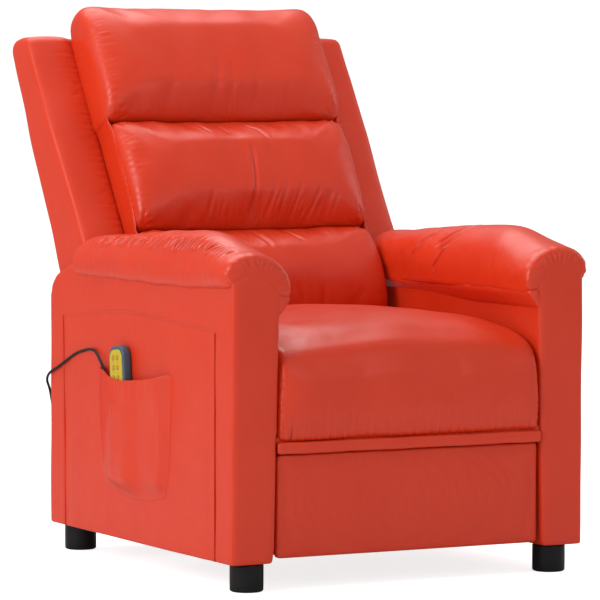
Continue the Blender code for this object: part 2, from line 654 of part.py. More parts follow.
def handset_cord():
    """The handset's lead: out of the pocket, round the side panel's rear edge, down to the gland."""
    start = turned_about_handset([(0.001, 0.0, -HANDSET_SIZE[2] / 2 - 0.0204)])[0]
    near = turned_about_handset([(0.001, 0.0, -HANDSET_SIZE[2] / 2 - 0.034)])[0]
    on_panel = -HALF_WIDTH - CORD_RADIUS - 0.0008
    side_points = [(-0.3712, 0.420, 0.216), (-0.3712, 0.443, 0.203), (-0.3712, 0.466, 0.211),
                   (-0.3712, 0.479, 0.240), (-0.3710, 0.483, 0.290), (-0.3705, 0.485, 0.330),
                   (-0.3705, 0.489, 0.356), (-0.3690, 0.511, 0.376), (-0.3660, 0.539, 0.391),
                   (on_panel, 0.568, 0.393), (on_panel, 0.595, 0.389), (on_panel, 0.630, 0.381),
                   (on_panel, 0.668, 0.367), (on_panel, 0.708, 0.351), (-0.3640, 0.745, 0.337),
                   (-0.3610, 0.7640, 0.322), (-0.3520, 0.7700, 0.300), (-0.3440, 0.7690, 0.250),
                   (-0.3370, 0.7690, 0.185), (-0.3270, 0.7700, 0.122), (-0.3070, 0.7730, 0.076),
                   (-0.2780, 0.7780, 0.055), (-0.2460, 0.7840, 0.062), (-0.2200, 0.7910, 0.092),
                   (-0.2050, 0.7950, 0.130)]
    exit_point = Vector((GLAND[0], behind(0.7684), GLAND[1]))
    route = [start, near]
    route += [Vector((x, behind(depth), z)) for x, depth, z in side_points]
    route += [Vector((GLAND[0], behind(0.7850), GLAND[1] - 0.003)), exit_point]
    tube("handset_cord", smooth_route(route, 0.0145), CORD_RADIUS, black_plastic(), 2)


def electrics():
    """The control box, its inlet and the gland that the handset's cord leaves by."""
    depths = (0.690, REAR_PANEL_DEPTH[0] - GAP)
    bevel(box("control_box", (-0.120, 0.040), depths, (0.130, 0.210), black_plastic()), 0.004, 1)
    inlet = rod("power_inlet", (0.100, behind(0.725), 0.100), (0.100, behind(0.7525), 0.100), 0.0080,
                black_plastic(), 16)
    flange = rod("inlet_flange", (0.100, behind(0.7524), 0.100), (0.100, behind(0.7550), 0.100), 0.0110,
                 black_plastic(), 16)
    socket = rod("inlet_socket", (0.100, behind(0.735), 0.100), (0.100, behind(0.770), 0.100), 0.0045,
                 black_plastic(), 12)
    boolean(inlet, flange, "UNION")
    boolean(inlet, socket, "DIFFERENCE")
    x, z = GLAND
    gland = rod("cord_gland", (x, behind(0.730), z), (x, behind(0.7525), z), 0.0070, black_plastic(), 16)
    nose = rod("gland_nose", (x, behind(0.7524), z), (x, behind(0.7680), z), (0.0095, 0.0042),
               black_plastic(), 16)
    boolean(gland, nose, "UNION")


def build():
    """Everything, in one pass."""
    clear_scene()
    arms()
    seat_cushion()
    seat_frame()
    seat_springs()
    seat_motor()
    for side, label in ((-1, "right"), (1, "left")):
        mechanism_plate(side, label)
        pivot_bolt(side, label)
    footrest_links()
    footrest_panel()
    back_shell()
    back_board()
    back_cushions()
    back_inner_pieces()
    side_pocket()
    handset()
    handset_cord()
    electrics()


build()
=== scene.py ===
"""Looks of the red upholstered massage recliner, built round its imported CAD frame.

Row frame: metres, +Z up, the sitter looks along -Y and the sitter's right side is -X.
Depths are written behind the arm fronts and turned into Y by behind().
"""

import json
import math

import bmesh
import bpy
import numpy as np
from mathutils import Matrix, Vector


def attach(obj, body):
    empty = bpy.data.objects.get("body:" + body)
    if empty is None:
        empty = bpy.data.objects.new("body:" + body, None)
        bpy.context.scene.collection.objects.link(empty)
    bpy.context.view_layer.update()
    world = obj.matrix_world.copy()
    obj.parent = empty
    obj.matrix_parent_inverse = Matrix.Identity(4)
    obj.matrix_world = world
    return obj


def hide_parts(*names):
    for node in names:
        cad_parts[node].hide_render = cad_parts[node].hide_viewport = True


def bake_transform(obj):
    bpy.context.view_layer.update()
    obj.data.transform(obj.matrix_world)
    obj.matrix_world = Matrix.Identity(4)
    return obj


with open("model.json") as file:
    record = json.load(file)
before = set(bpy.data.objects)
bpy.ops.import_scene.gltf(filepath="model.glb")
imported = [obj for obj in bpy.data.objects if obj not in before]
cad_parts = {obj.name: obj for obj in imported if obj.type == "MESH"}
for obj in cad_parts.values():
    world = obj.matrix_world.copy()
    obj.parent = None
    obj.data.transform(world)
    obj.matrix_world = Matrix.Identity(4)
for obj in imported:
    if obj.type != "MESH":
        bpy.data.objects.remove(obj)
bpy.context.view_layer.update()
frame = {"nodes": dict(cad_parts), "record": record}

FRONT = -0.477
LEAN = math.radians(30.0)
BACK_ORIGIN = Vector((0.0, FRONT + 0.676, 0.602))
BACK_AXES = Matrix(((1, 0, 0, 0),
                    (0, math.sin(LEAN), -math.cos(LEAN), 0),
                    (0, math.cos(LEAN), math.sin(LEAN), 0),
                    (0, 0, 0, 1)))
TO_BACK = Matrix.Translation(BACK_ORIGIN) @ BACK_AXES   # (x, along, proud) to the row frame
SIDES = ((-1, "right"), (1, "left"))


def behind(depth):
    """Y of a point this far behind the arm fronts."""
    return FRONT + depth


# ---- camera, light and floor ----
WHITE = (1.0, 1.0, 1.0, 1.0)
ROOM_LIGHT, ROOM_MIRRORED = 0.55, 0.32   # the room's strength on the chair, and in its reflections


def make_camera():
    """The camera fitted to the straight edges of the chair."""
    target = Vector((-0.0671, -0.1851, 0.4923))
    back = Vector((-0.47446, -0.87830, 0.05891)).normalized()
    right = Vector((0, 0, 1)).cross(back).normalized()
    up = back.cross(right)
    roll = math.radians(0.17)
    turn = Matrix.Rotation(roll, 3, back)
    right, up = turn @ right, turn @ up
    data = bpy.data.cameras.new("camera")
    data.lens = 231.54
    data.sensor_width = 36.0
    data.clip_end = 60.0
    camera = bpy.data.objects.new("camera", data)
    camera.matrix_world = Matrix((right, up, back)).transposed().to_4x4()
    camera.location = target + back * 7.092
    bpy.context.collection.objects.link(camera)
    bpy.context.scene.camera = camera


def area_light(name, place, target, size, power):
    """A soft rectangular lamp aimed at a point."""
    data = bpy.data.lights.new(name, "AREA")
    data.shape = "RECTANGLE"
    data.size, data.size_y = size
    data.energy = power
    lamp = bpy.data.objects.new(name, data)
    lamp.location = place
    lamp.rotation_euler = (Vector(target) - Vector(place)).to_track_quat("-Z", "Y").to_euler()
    bpy.context.collection.objects.link(lamp)


def make_studio():
    """White room, pale floor and soft lamps; the strongest stands to the picture's left."""
    scene = bpy.context.scene
    scene.view_settings.view_transform = "Standard"
    scene.view_settings.look = "None"
    n = Nodes("studio", "worlds")
    scene.world = n.owner
    n.tree.nodes.clear()
    eye = n.add("ShaderNodeLightPath")
    strength = n.spread(eye.outputs["Is Glossy Ray"], 0.0, 1.0, ROOM_LIGHT, ROOM_MIRRORED)
    lit = n.add("ShaderNodeBackground", {"Color": WHITE, "Strength": strength})
    seen = n.add("ShaderNodeBackground", {"Color": WHITE, "Strength": 1.05})
    room = n.add("ShaderNodeMixShader", {0: eye.outputs["Is Camera Ray"], 1: lit.outputs[0],
                                         2: seen.outputs[0]})
    n.add("ShaderNodeOutputWorld", {"Surface": room.outputs[0]})

    bpy.ops.mesh.primitive_plane_add(size=30, location=(0, 0, -0.0002))
    floor = bpy.context.object
    floor.name = "floor"
    n = Nodes("floor_white")
    eye = n.add("ShaderNodeLightPath")
    tone = n.maths("MULTIPLY_ADD", eye.outputs["Is Diffuse Ray"], 0.20, 0.72)
    tone = n.maths("MULTIPLY_ADD", eye.outputs["Is Glossy Ray"], -0.32, tone)
    glow = n.maths("MULTIPLY", eye.outputs["Is Camera Ray"], 0.80)
    floor.data.materials.append(n.surface(Base_Color=tone, Roughness=0.8, Specular_IOR_Level=0.1,
                                          Emission_Color=WHITE, Emission_Strength=glow))

    area_light("key", (-4.5, -1.0, 2.4), (-0.1, 0.0, 0.5), (2.0, 2.2), 108)
    area_light("front", (0.9, -4.5, 2.4), (0.0, 0.0, 0.5), (2.0, 1.6), 14)
    area_light("top", (-0.2, 1.1, 3.4), (0.0, -0.1, 0.5), (3.2, 2.6), 84)
    area_light("right", (3.4, -0.4, 1.8), (0.2, 0.0, 0.6), (0.9, 2.2), 14)


# ---- node materials ----
class Nodes:
    """A short way to write the nodes of a material, or of a world."""

    def __init__(self, name, kind="materials"):
        self.owner = getattr(bpy.data, kind).new(name)
        self.owner.use_nodes = True
        self.tree = self.owner.node_tree

    def add(self, kind, inputs=None, **settings):
        """A node with its settings and its inputs, each a socket or a value."""
        made = self.tree.nodes.new(kind)
        for key, value in settings.items():
            setattr(made, key, value)
        for key, value in (inputs or {}).items():
            self.put(made.inputs[key], value)
        return made

    def put(self, socket, value):
        """Links a socket, or sets its value."""
        if isinstance(value, bpy.types.NodeSocket):
            self.tree.links.new(value, socket)
        else:
            socket.default_value = value

    def maths(self, operation, first, second=0.0, third=0.0):
        """One maths node."""
        return self.add("ShaderNodeMath", {0: first, 1: second, 2: third}, operation=operation).outputs[0]

    def spread(self, value, low, high, new_low, new_high):
        """A value moved from one range to another, clamped."""
        return self.add("ShaderNodeMapRange", {"Value": value, "From Min": low, "From Max": high,
                                               "To Min": new_low, "To Max": new_high}).outputs[0]

    def place(self, scale=(1, 1, 1)):
        """The piece's own coordinates in metres, stretched."""
        where = self.add("ShaderNodeTexCoord").outputs["Object"]
        return self.add("ShaderNodeMapping", {"Vector": where, "Scale": scale}).outputs[0]

    def noise(self, vector, scale, detail=3.0, rough=0.5):
        """A noise value between 0 and 1."""
        return self.add("ShaderNodeTexNoise", {"Vector": vector, "Scale": scale, "Detail": detail,
                                               "Roughness": rough}).outputs[0]

    def cells(self, vector, scale):
        """Distance to the nearest of scattered points."""
        return self.add("ShaderNodeTexVoronoi", {"Vector": vector, "Scale": scale}).outputs["Distance"]

    def attribute(self, name, output="Fac"):
        """A value stored on the piece's vertices; 0 where there is none."""
        return self.add("ShaderNodeAttribute", attribute_name=name).outputs[output]

    def bump(self, height, distance, strength=1.0, normal=None):
        """A bump, in metres."""
        made = self.add("ShaderNodeBump", {"Height": height, "Distance": distance, "Strength": strength})
        if normal is not None:
            self.put(made.inputs["Normal"], normal)
        return made.outputs[0]

    def mix(self, share, first, second):
        """A colour between two."""
        return self.add("ShaderNodeMix", {0: share, 6: first, 7: second}, data_type="RGBA").outputs[2]

    def surface(self, **values):
        """Values for the shader's own sockets, written with _ for a space."""
        shader = self.tree.nodes["Principled BSDF"]
        for key, value in values.items():
            self.put(shader.inputs[key.replace("_", " ")], value)
        return self.owner


SEAM_REACH = 0.020      # metres from a seam within which its mark is stored
SEAM_HALF = 0.0013      # half the width of a seam's groove
STITCH_OFF = 0.0042     # metres from the seam to its stitches
RED, DEEP_RED = (0.660, 0.0360, 0.0050, 1), (0.580, 0.0240, 0.0035, 1)
SEAM_RED, THREAD_RED = (0.16, 0.004, 0.002, 1), (0.45, 0.015, 0.008, 1)


def red_leather(name, rough=0.40):
    """Coated artificial leather: fine grain, soft colour drift, seams and gathers from vertex data."""
    n = Nodes(name)
    where = n.place()
    drift = n.noise(where, 9.0, 4.0)
    mottle = n.noise(where, 160.0, 3.0)
    share = n.maths("MULTIPLY_ADD", mottle, 0.25, n.spread(drift, 0.3, 0.7, 0.0, 0.30))
    closeness = n.attribute("seam")
    away = n.maths("MULTIPLY", n.maths("SUBTRACT", 1.0, closeness), SEAM_REACH)
    groove = n.maths("POWER", n.maths("DIVIDE", away, SEAM_HALF), 2.0)
    groove = n.maths("POWER", 2.718, n.maths("MULTIPLY", groove, -1.0))
    groove = n.maths("MULTIPLY", groove, n.maths("GREATER_THAN", closeness, 0.001))
    run = n.attribute("stitch")
    off_line = n.maths("ABSOLUTE", n.maths("SUBTRACT", away, STITCH_OFF))
    near = n.maths("LESS_THAN", off_line, 0.0005)
    dash = n.maths("LESS_THAN", n.maths("FRACT", n.maths("MULTIPLY", run, 250.0)), 0.68)
    thread = n.maths("MULTIPLY", n.maths("MULTIPLY", near, dash), n.maths("GREATER_THAN", run, 0.0001))
    colour = n.mix(share, RED, DEEP_RED)
    colour = n.mix(n.maths("MULTIPLY", groove, 0.55), colour, SEAM_RED)
    colour = n.mix(n.maths("MULTIPLY", thread, 0.5), colour, THREAD_RED)
    grain = n.cells(where, 950.0)
    pores = n.noise(where, 2600.0, 2.0)
    fold = n.add("ShaderNodeSeparateXYZ", {"Vector": n.attribute("fold", "Vector")})
    stretched = n.add("ShaderNodeCombineXYZ", {"X": n.maths("MULTIPLY", fold.outputs[0], 150.0),
                                               "Y": n.maths("MULTIPLY", fold.outputs[1], 16.0)}).outputs[0]
    pleat = n.noise(stretched, 1.0, 2.0)
    pleat = n.maths("MULTIPLY", n.maths("SUBTRACT", pleat, 0.5), fold.outputs[2])
    normal = n.bump(grain, 0.00008, 0.5)
    normal = n.bump(pores, 0.00004, 0.5, normal)
    normal = n.bump(n.noise(where, 75.0, 2.0), 0.0004, 0.5, normal)
    normal = n.bump(pleat, 0.0042, 1.0, normal)
    normal = n.bump(n.maths("MULTIPLY", groove, -1.0), 0.0012, 1.0, normal)
    normal = n.bump(thread, 0.0003, 1.0, normal)
    wear = n.noise(where, 24.0, 5.0, 0.6)
    roughness = n.spread(wear, 0.3, 0.7, rough - 0.05, rough + 0.07)
    roughness = n.maths("MULTIPLY_ADD", n.maths("MINIMUM", fold.outputs[2], 1.0), -0.12, roughness)
    return n.surface(Base_Color=colour, Roughness=roughness, Normal=normal, IOR=1.46,
                     Specular_IOR_Level=0.50, Coat_Weight=0.12, Coat_Roughness=0.30)


def plastic(name, colour, rough, grain=0.00003, coat=0.0, shine=0.5):
    """Moulded plastic with a fine texture and slight scuffs."""
    n = Nodes(name)
    where = n.place()
    scuff = n.noise(where, 60.0, 5.0, 0.65)
    darker = tuple(c * 0.82 for c in colour[:3]) + (1,)
    normal = n.bump(n.noise(where, 1800.0, 2.0), grain, 0.6)
    return n.surface(Base_Color=n.mix(scuff, colour, darker), Normal=normal,
                     Roughness=n.spread(scuff, 0.3, 0.7, rough - 0.06, rough + 0.08), Coat_Weight=coat,
                     Specular_IOR_Level=shine)


def powder_steel(name):
    """Black powder-coated steel, rubbed a little brighter here and there."""
    n = Nodes(name)
    where = n.place()
    rub = n.noise(where, 45.0, 6.0, 0.7)
    colour = n.mix(n.spread(rub, 0.55, 0.75, 0.0, 0.7), (0.018, 0.018, 0.020, 1), (0.10, 0.10, 0.105, 1))
    normal = n.bump(n.noise(where, 1500.0, 2.0), 0.00006, 0.7)
    return n.surface(Base_Color=colour, Metallic=0.35, Normal=normal,
                     Roughness=n.spread(rub, 0.3, 0.7, 0.52, 0.38))


def drawn_wire(name):
    """Plain spring wire with drawing marks."""
    n = Nodes(name)
    where = n.place((400, 40, 400))
    marks = n.noise(where, 1.0, 4.0)
    colour = n.mix(marks, (0.30, 0.30, 0.32, 1), (0.52, 0.52, 0.53, 1))
    return n.surface(Base_Color=colour, Metallic=1.0, Roughness=n.spread(marks, 0.3, 0.7, 0.28, 0.45),
                     Normal=n.bump(marks, 0.00004, 0.6))


def plywood(name):
    """Raw birch ply: long grain, darker glue lines."""
    n = Nodes(name)
    grain = n.noise(n.place((60, 5, 60)), 3.0, 6.0, 0.6)
    fine = n.noise(n.place((900, 40, 900)), 1.0, 3.0)
    colour = n.mix(grain, (0.50, 0.33, 0.17, 1), (0.70, 0.53, 0.32, 1))
    colour = n.mix(n.maths("MULTIPLY", fine, 0.35), colour, (0.36, 0.22, 0.10, 1))
    return n.surface(Base_Color=colour, Roughness=n.spread(fine, 0.3, 0.7, 0.6, 0.8),
                     Normal=n.bump(fine, 0.0002, 0.6))


def felt(name, colour):
    """Grey needled felt."""
    n = Nodes(name)
    where = n.place()
    fibres = n.noise(where, 700.0, 6.0, 0.75)
    darker = tuple(c * 0.6 for c in colour[:3]) + (1,)
    return n.surface(Base_Color=n.mix(fibres, colour, darker), Roughness=0.95,
                     Normal=n.bump(fibres, 0.0005, 1.0), Sheen_Weight=0.3)


LEATHER = red_leather("red_leather_cover")
BLACK = plastic("black_plastic_satin", (0.009, 0.009, 0.010, 1), 0.34, 0.00003, 0.0, 0.3)
RUBBER = plastic("cord_rubber_black", (0.009, 0.009, 0.010, 1), 0.42, 0.00002, 0.0, 0.3)
GREY = plastic("handset_grey_blue", (0.058, 0.108, 0.160, 1), 0.40, 0.00005)
YELLOW = plastic("handset_yellow", (0.60, 0.42, 0.006, 1), 0.36, 0.00003, 0.15)
KEY = plastic("handset_key", (0.42, 0.28, 0.012, 1), 0.5, 0.00003)
STEEL = powder_steel("powder_steel_black")
WIRE = drawn_wire("spring_wire")
PLY = plywood("birch_plywood")
FELT = felt("grey_felt", (0.22, 0.22, 0.24, 1))
SLOT_LOOKS = {"wood": PLY, "steel": STEEL, "spring_steel": WIRE, "black_plastic": BLACK,
              "cord_rubber": RUBBER, "grey_plastic": GREY, "yellow_plastic": YELLOW,
              "key_plastic": KEY, "heat_felt": FELT, "leather": LEATHER}


# ---- mesh tools ----
def mesh_piece(name, points, faces, look):
    """A smooth mesh object from points and faces, in the row frame."""
    mesh = bpy.data.meshes.new(name)
    mesh.from_pydata([tuple(map(float, p)) for p in points], [], faces)
    mesh.materials.append(look)
    mesh.polygons.foreach_set("use_smooth", [True] * len(mesh.polygons))
    mesh.update()
    made = bpy.data.objects.new(name, mesh)
    bpy.context.collection.objects.link(made)
    return made


def loft(name, rings, look, capped=True):
    """A tube through equal-length closed rings of points, with its ends capped."""
    rings = [[tuple(p) for p in ring] for ring in rings]
    size, points, faces = len(rings[0]), [], []
    for ring in rings:
        points += ring
    for r in range(len(rings) - 1):
        for i in range(size):
            j = (i + 1) % size
            faces.append((r * size + i, r * size + j, (r + 1) * size + j, (r + 1) * size + i))
    if capped:
        faces.append(tuple(range(size))[::-1])
        faces.append(tuple(range((len(rings) - 1) * size, len(rings) * size)))
    made = mesh_piece(name, points, faces, look)
    fix_normals(made)
    return made


def fix_normals(piece):
    """Turn every face outwards."""
    data = bmesh.new()
    data.from_mesh(piece.data)
    bmesh.ops.recalc_face_normals(data, faces=data.faces)
    data.to_mesh(piece.data)
    data.free()


def side_prism(name, outline, x_range, look):
    """A (depth, height) outline extruded between two X."""
    return loft(name, [[(x, behind(d), z) for d, z in outline] for x in x_range], look)


def front_prism(name, outline, depths, look):
    """An (x, z) outline extruded between two depths."""
    return loft(name, [[(x, behind(d), z) for x, z in outline] for d in depths], look)


def per_vertex(mesh, name):
    """Three numbers of each vertex of a mesh, as rows."""
    flat = np.empty(len(mesh.vertices) * 3)
    mesh.vertices.foreach_get(name, flat)
    return flat.reshape(-1, 3)


def coordinates(piece):
    """The vertices of a piece as an array."""
    return per_vertex(piece.data, "co")


def normals(piece):
    """The vertex normals of a piece as an array."""
    return per_vertex(piece.data, "normal")


def push_out(piece, amount):
    """Move each vertex along its normal, in metres."""
    set_coordinates(piece, coordinates(piece) + normals(piece) * amount[:, None])


def set_coordinates(piece, points):
    """Move the vertices of a piece."""
    piece.data.vertices.foreach_set("co", np.ascontiguousarray(points, dtype=np.float32).ravel())
    piece.data.update()


def store(piece, name, values):
    """Keep a number, or three, on each vertex for the material."""
    kind, key = ("FLOAT", "value") if values.ndim == 1 else ("FLOAT_VECTOR", "vector")
    layer = piece.data.attributes.new(name, kind, "POINT")
    layer.data.foreach_set(key, values.astype(np.float32).ravel())


def settle(piece):
    """Make a piece's modifiers real."""
    graph = bpy.context.evaluated_depsgraph_get()
    graph.update()
    mesh = bpy.data.meshes.new_from_object(piece.evaluated_get(graph))
    old = piece.data
    piece.modifiers.clear()
    piece.data = mesh
    bpy.data.meshes.remove(old)
    mesh.polygons.foreach_set("use_smooth", [True] * len(mesh.polygons))
    return piece


def bevel(piece, width, segments, angle=30.0):
    """Round a piece's sharp edges."""
    modifier = piece.modifiers.new("round", "BEVEL")
    modifier.width = width
    modifier.segments = segments
    modifier.limit_method = "ANGLE"
    modifier.angle_limit = math.radians(angle)
    return piece


def joined(name, parts):
    """Several leather pieces as one mesh."""
    data = bmesh.new()
    graph = bpy.context.evaluated_depsgraph_get()
    for part in parts:
        mesh = bpy.data.meshes.new_from_object(part.evaluated_get(graph))
        data.from_mesh(mesh)
        bpy.data.meshes.remove(mesh)
    mesh = bpy.data.meshes.new(name)
    data.to_mesh(mesh)
    data.free()
    mesh.materials.append(LEATHER)
    for part in parts:
        bpy.data.objects.remove(part, do_unlink=True)
    made = bpy.data.objects.new(name, mesh)
    bpy.context.collection.objects.link(made)
    return made


def remesh(piece, voxel):
    """An even skin of small quads over a piece."""
    modifier = piece.modifiers.new("skin", "REMESH")
    modifier.mode = "VOXEL"
    modifier.voxel_size = voxel
    modifier.use_smooth_shade = True
    return settle(piece)


def subdivide(piece):
    """One level of smooth subdivision."""
    modifier = piece.modifiers.new("fine", "SUBSURF")
    modifier.levels = 1
    modifier.render_levels = 1
    return settle(piece)


def edge_pairs(piece):
    """The edges of a piece as an array of vertex pairs."""
    flat = np.empty(len(piece.data.edges) * 2, dtype=np.int32)
    piece.data.edges.foreach_get("vertices", flat)
    return flat.reshape(-1, 2)


def relax(piece, rounds, weight=1.0):
    """Average each vertex with its neighbours; weight limits it to part of the piece."""
    points, pairs = coordinates(piece), edge_pairs(piece)
    count = np.zeros(len(points))
    np.add.at(count, pairs.ravel(), 1)
    share = 0.5 * weight * np.ones(len(points))
    for _ in range(rounds):
        total = np.zeros_like(points)
        for axis in range(3):
            total[:, axis] = (np.bincount(pairs[:, 0], points[pairs[:, 1], axis], len(points))
                              + np.bincount(pairs[:, 1], points[pairs[:, 0], axis], len(points)))
        middle = total / np.maximum(count, 1)[:, None]
        points = points + (middle - points) * share[:, None]
    set_coordinates(piece, points)


def smooth_step(value, low, high):
    """0 below low, 1 above high and a smooth rise between."""
    t = np.clip((value - low) / (high - low), 0.0, 1.0)
    return t * t * (3 - 2 * t)


def fall(value, low, high):
    """1 below low, 0 above high and a smooth fall between."""
    return 1 - smooth_step(value, low, high)


def bell(value, centre, width, power=2):
    """1 at the centre, dying away smoothly over a width."""
    return np.exp(-((value - centre) / width) ** power)


def dying(distance, width):
    """1 up to a line, dying away with the distance past it."""
    return np.exp(-np.maximum(distance, 0) / width)


def mm(text, size=2):
    """Rows of numbers written in millimetres, as tuples in metres."""
    values = [float(word) / 1000 for word in text.split()]
    return [tuple(values[i:i + size]) for i in range(0, len(values), size)]


def creases(*rows):
    """Crease lines, written as points | width, depth in millimetres and the share that fades."""
    made = []
    for row in rows:
        line, shape = row.split("|")
        width, depth, fade = (float(word) for word in shape.split())
        made.append((mm(line), width / 1000, depth / 1000, fade))
    return made


def ripple(points, wavelength, seed, waves=7):
    """A smooth random field, mostly between -1 and 1, over rows of points."""
    chance = np.random.default_rng(seed)
    total = np.zeros(len(points))
    for _ in range(waves):
        direction = chance.normal(size=points.shape[1])
        direction /= np.linalg.norm(direction)
        length = wavelength * chance.uniform(0.7, 1.6)
        total += np.sin(points @ direction * (2 * math.pi / length) + chance.uniform(0, 2 * math.pi))
    return total / math.sqrt(waves)


def to_line(points, line):
    """Distance from each 2-D point to a polyline, and the distance run along the line, in metres."""
    line = np.array(line, float)
    nearest, run = np.full(len(points), 1e9), np.zeros(len(points))
    done = 0.0
    for start, end in zip(line, line[1:]):
        step = end - start
        length = np.linalg.norm(step)
        share = np.clip((points - start) @ step / length ** 2, 0, 1)
        away = np.linalg.norm(points - start - share[:, None] * step, axis=1)
        closer = away < nearest
        nearest[closer] = away[closer]
        run[closer] = done + share[closer] * length
        done += length
    return nearest, run, done


def crease(points, line, width, depth, fade):
    """A dent with raised lips along a polyline, dying away at its ends; in metres."""
    nearest, run, total = to_line(points, line)
    share = run / total
    ends = smooth_step(share, 0.0, fade) * fall(share, 1 - fade, 1.0)
    dent = bell(nearest, 0.0, width)
    lips = bell(nearest, 2.0 * width, 1.1 * width)
    return depth * ends * (0.22 * lips - dent)


def curve_points(points, count, closed=False):
    """Evenly spaced points on a smooth curve through 2-D or 3-D points."""
    points = np.array(points, float)
    if closed:
        around = np.vstack([points[-1], points, points[0], points[1]])
    else:
        around = np.vstack([2 * points[0] - points[1], points, 2 * points[-1] - points[-2]])
    fine = []
    for before, start, end, after in zip(around, around[1:], around[2:], around[3:]):
        for t in np.linspace(0, 1, 12, endpoint=False):
            square = (2 * before - 5 * start + 4 * end - after) * t * t
            cube = (3 * start - before - 3 * end + after) * t ** 3
            fine.append(0.5 * (2 * start + (end - before) * t + square + cube))
    fine = np.array(fine + [around[-2]])
    steps = np.linalg.norm(np.diff(fine, axis=0), axis=1)
    run = np.concatenate([[0], np.cumsum(steps)])
    wanted = np.linspace(0, run[-1], count + 1)[:-1] if closed else np.linspace(0, run[-1], count)
    return np.stack([np.interp(wanted, run, fine[:, k]) for k in range(fine.shape[1])], axis=1)


LEATHER_CLOTH = {"quality": 4, "mass": 0.25, "tension_stiffness": 18.0, "compression_stiffness": 18.0,
                 "shear_stiffness": 8.0, "bending_stiffness": 0.6, "air_damping": 2.0,
                 "use_pressure": True, "vertex_group_mass": "held", "pin_stiffness": 1.0}


def hold_and_blow(piece, held, pressure, slack, frames, cap):
    """Blow a slack leather cover out over its filling by up to `cap`, held where `held` is 1.
    """
    group = piece.vertex_groups.new(name="held")
    levels = np.round(np.clip(held, 0, 1) * 8).astype(int)
    for level in range(1, 9):
        chosen = np.nonzero(levels == level)[0]
        if len(chosen):
            group.add(chosen.tolist(), level / 8, "REPLACE")
    start = coordinates(piece)
    cloth = piece.modifiers.new("cover", "CLOTH")
    settings = cloth.settings
    for key, value in LEATHER_CLOTH.items():
        setattr(settings, key, value)
    settings.uniform_pressure_force = pressure
    settings.shrink_min = -slack
    settings.shrink_max = -slack
    settings.effector_weights.gravity = 0.0
    cloth.collision_settings.use_collision = False
    cloth.point_cache.frame_start = 1
    cloth.point_cache.frame_end = frames
    scene = bpy.context.scene
    for number in range(1, frames + 1):
        scene.frame_set(number)
    graph = bpy.context.evaluated_depsgraph_get()
    moved = per_vertex(piece.evaluated_get(graph).to_mesh(), "co") - start
    size = np.linalg.norm(moved, axis=1)
    moved *= (np.minimum(size, cap) / np.maximum(size, 1e-9))[:, None]
    piece.modifiers.clear()
    piece.vertex_groups.clear()
    scene.frame_set(1)
    set_coordinates(piece, start + moved)


FAINT = 0.0011          # a faint seam is stored as if it were this much further away


def seams(piece, flat, lines, mask, faint=()):
    """Store how close each vertex is to its nearest seam, and the run of the stitches along it."""
    nearest, runs = np.full(len(flat), 1e9), np.zeros(len(flat))
    before = 1.0
    for line in list(lines) + list(faint):
        away, run, total = to_line(flat, line)
        away = away + (FAINT if line in faint else 0.0)
        closer = away < nearest
        nearest[closer] = away[closer]
        runs[closer] = before + run[closer]
        before += total
    closeness = np.clip(1 - nearest / SEAM_REACH, 0, 1)
    store(piece, "seam", closeness * mask)
    store(piece, "stitch", runs * mask)


def gathers(piece, across, along, strength):
    """Store a frame for fine pleats: metres across them, metres along them, and how strong they are."""
    store(piece, "fold", np.stack([across, along, strength], axis=1))


def stands_for(piece, body, slot, *nodes):
    """A piece that rides on a body and hides the CAD nodes that it stands for."""
    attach(piece, body)
    if nodes:
        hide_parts(*nodes)
    return piece


# ---- cord ----
HANDSET_CENTRE = Vector((-0.3708, behind(0.418), 0.3415))
HANDSET_TURN = Matrix.Rotation(math.radians(-6.0), 3, "X")
CORD_EXIT = (-0.2000, behind(0.7684), 0.1600)
CORD_DIAMETER = 0.005


def on_handset(point):
    """A point in the handset's own frame, in the row frame."""
    return HANDSET_CENTRE + HANDSET_TURN @ Vector(point)


def tube_mesh(name, path, radii, look, sides=14):
    """A round mesh tube along a path, with a radius for each point."""
    path = [Vector(p) for p in path]
    rings = []
    side = Vector((1, 0, 0))
    for i, point in enumerate(path):
        ahead = (path[min(i + 1, len(path) - 1)] - path[max(i - 1, 0)]).normalized()
        side = (side - ahead * side.dot(ahead)).normalized()
        other = ahead.cross(side)
        rings.append([point + (side * math.cos(a) + other * math.sin(a)) * radii[i]
                      for a in (2 * math.pi * k / sides for k in range(sides))])
    return loft(name, rings, look)


def make_cord():
    """The handset's lead: up out of the pocket, round the side panel's rear edge, down to the gland."""
    in_pocket = "-371.2 420 216 -371.2 443 203 -371.2 466 211 -371.2 479 240 -371 483 290 -370.5 485 330"
    over_rim = "-370.5 489 356  -369 511 376  -366 539 391"
    on_panel = "-363.3 568 393  -363.3 595 389  -363.3 630 381  -363.3 668 367  -363.3 708 351"
    round_edge = "-364 745 337  -361 764 322  -352 770 300  -344 769 250  -337 769 185"
    loop = "-327 770 122  -307 773 76  -278 778 55  -246 784 62  -220 791 92  -205 795 130  -200 785 157"
    route = [on_handset((0.001, 0, -0.0879)), on_handset((0.001, 0, -0.1015))]
    for part in (in_pocket, over_rim, on_panel, round_edge, loop):
        route += [Vector((x, behind(depth), z)) for x, depth, z in mm(part, 3)]
    route.append(Vector(CORD_EXIT))
    path = curve_points(route, 240)
    cord = tube_mesh("handset_cord_cover", path, [CORD_DIAMETER / 2] * len(path), RUBBER)
    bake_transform(cord)
    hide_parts("handset_cord")


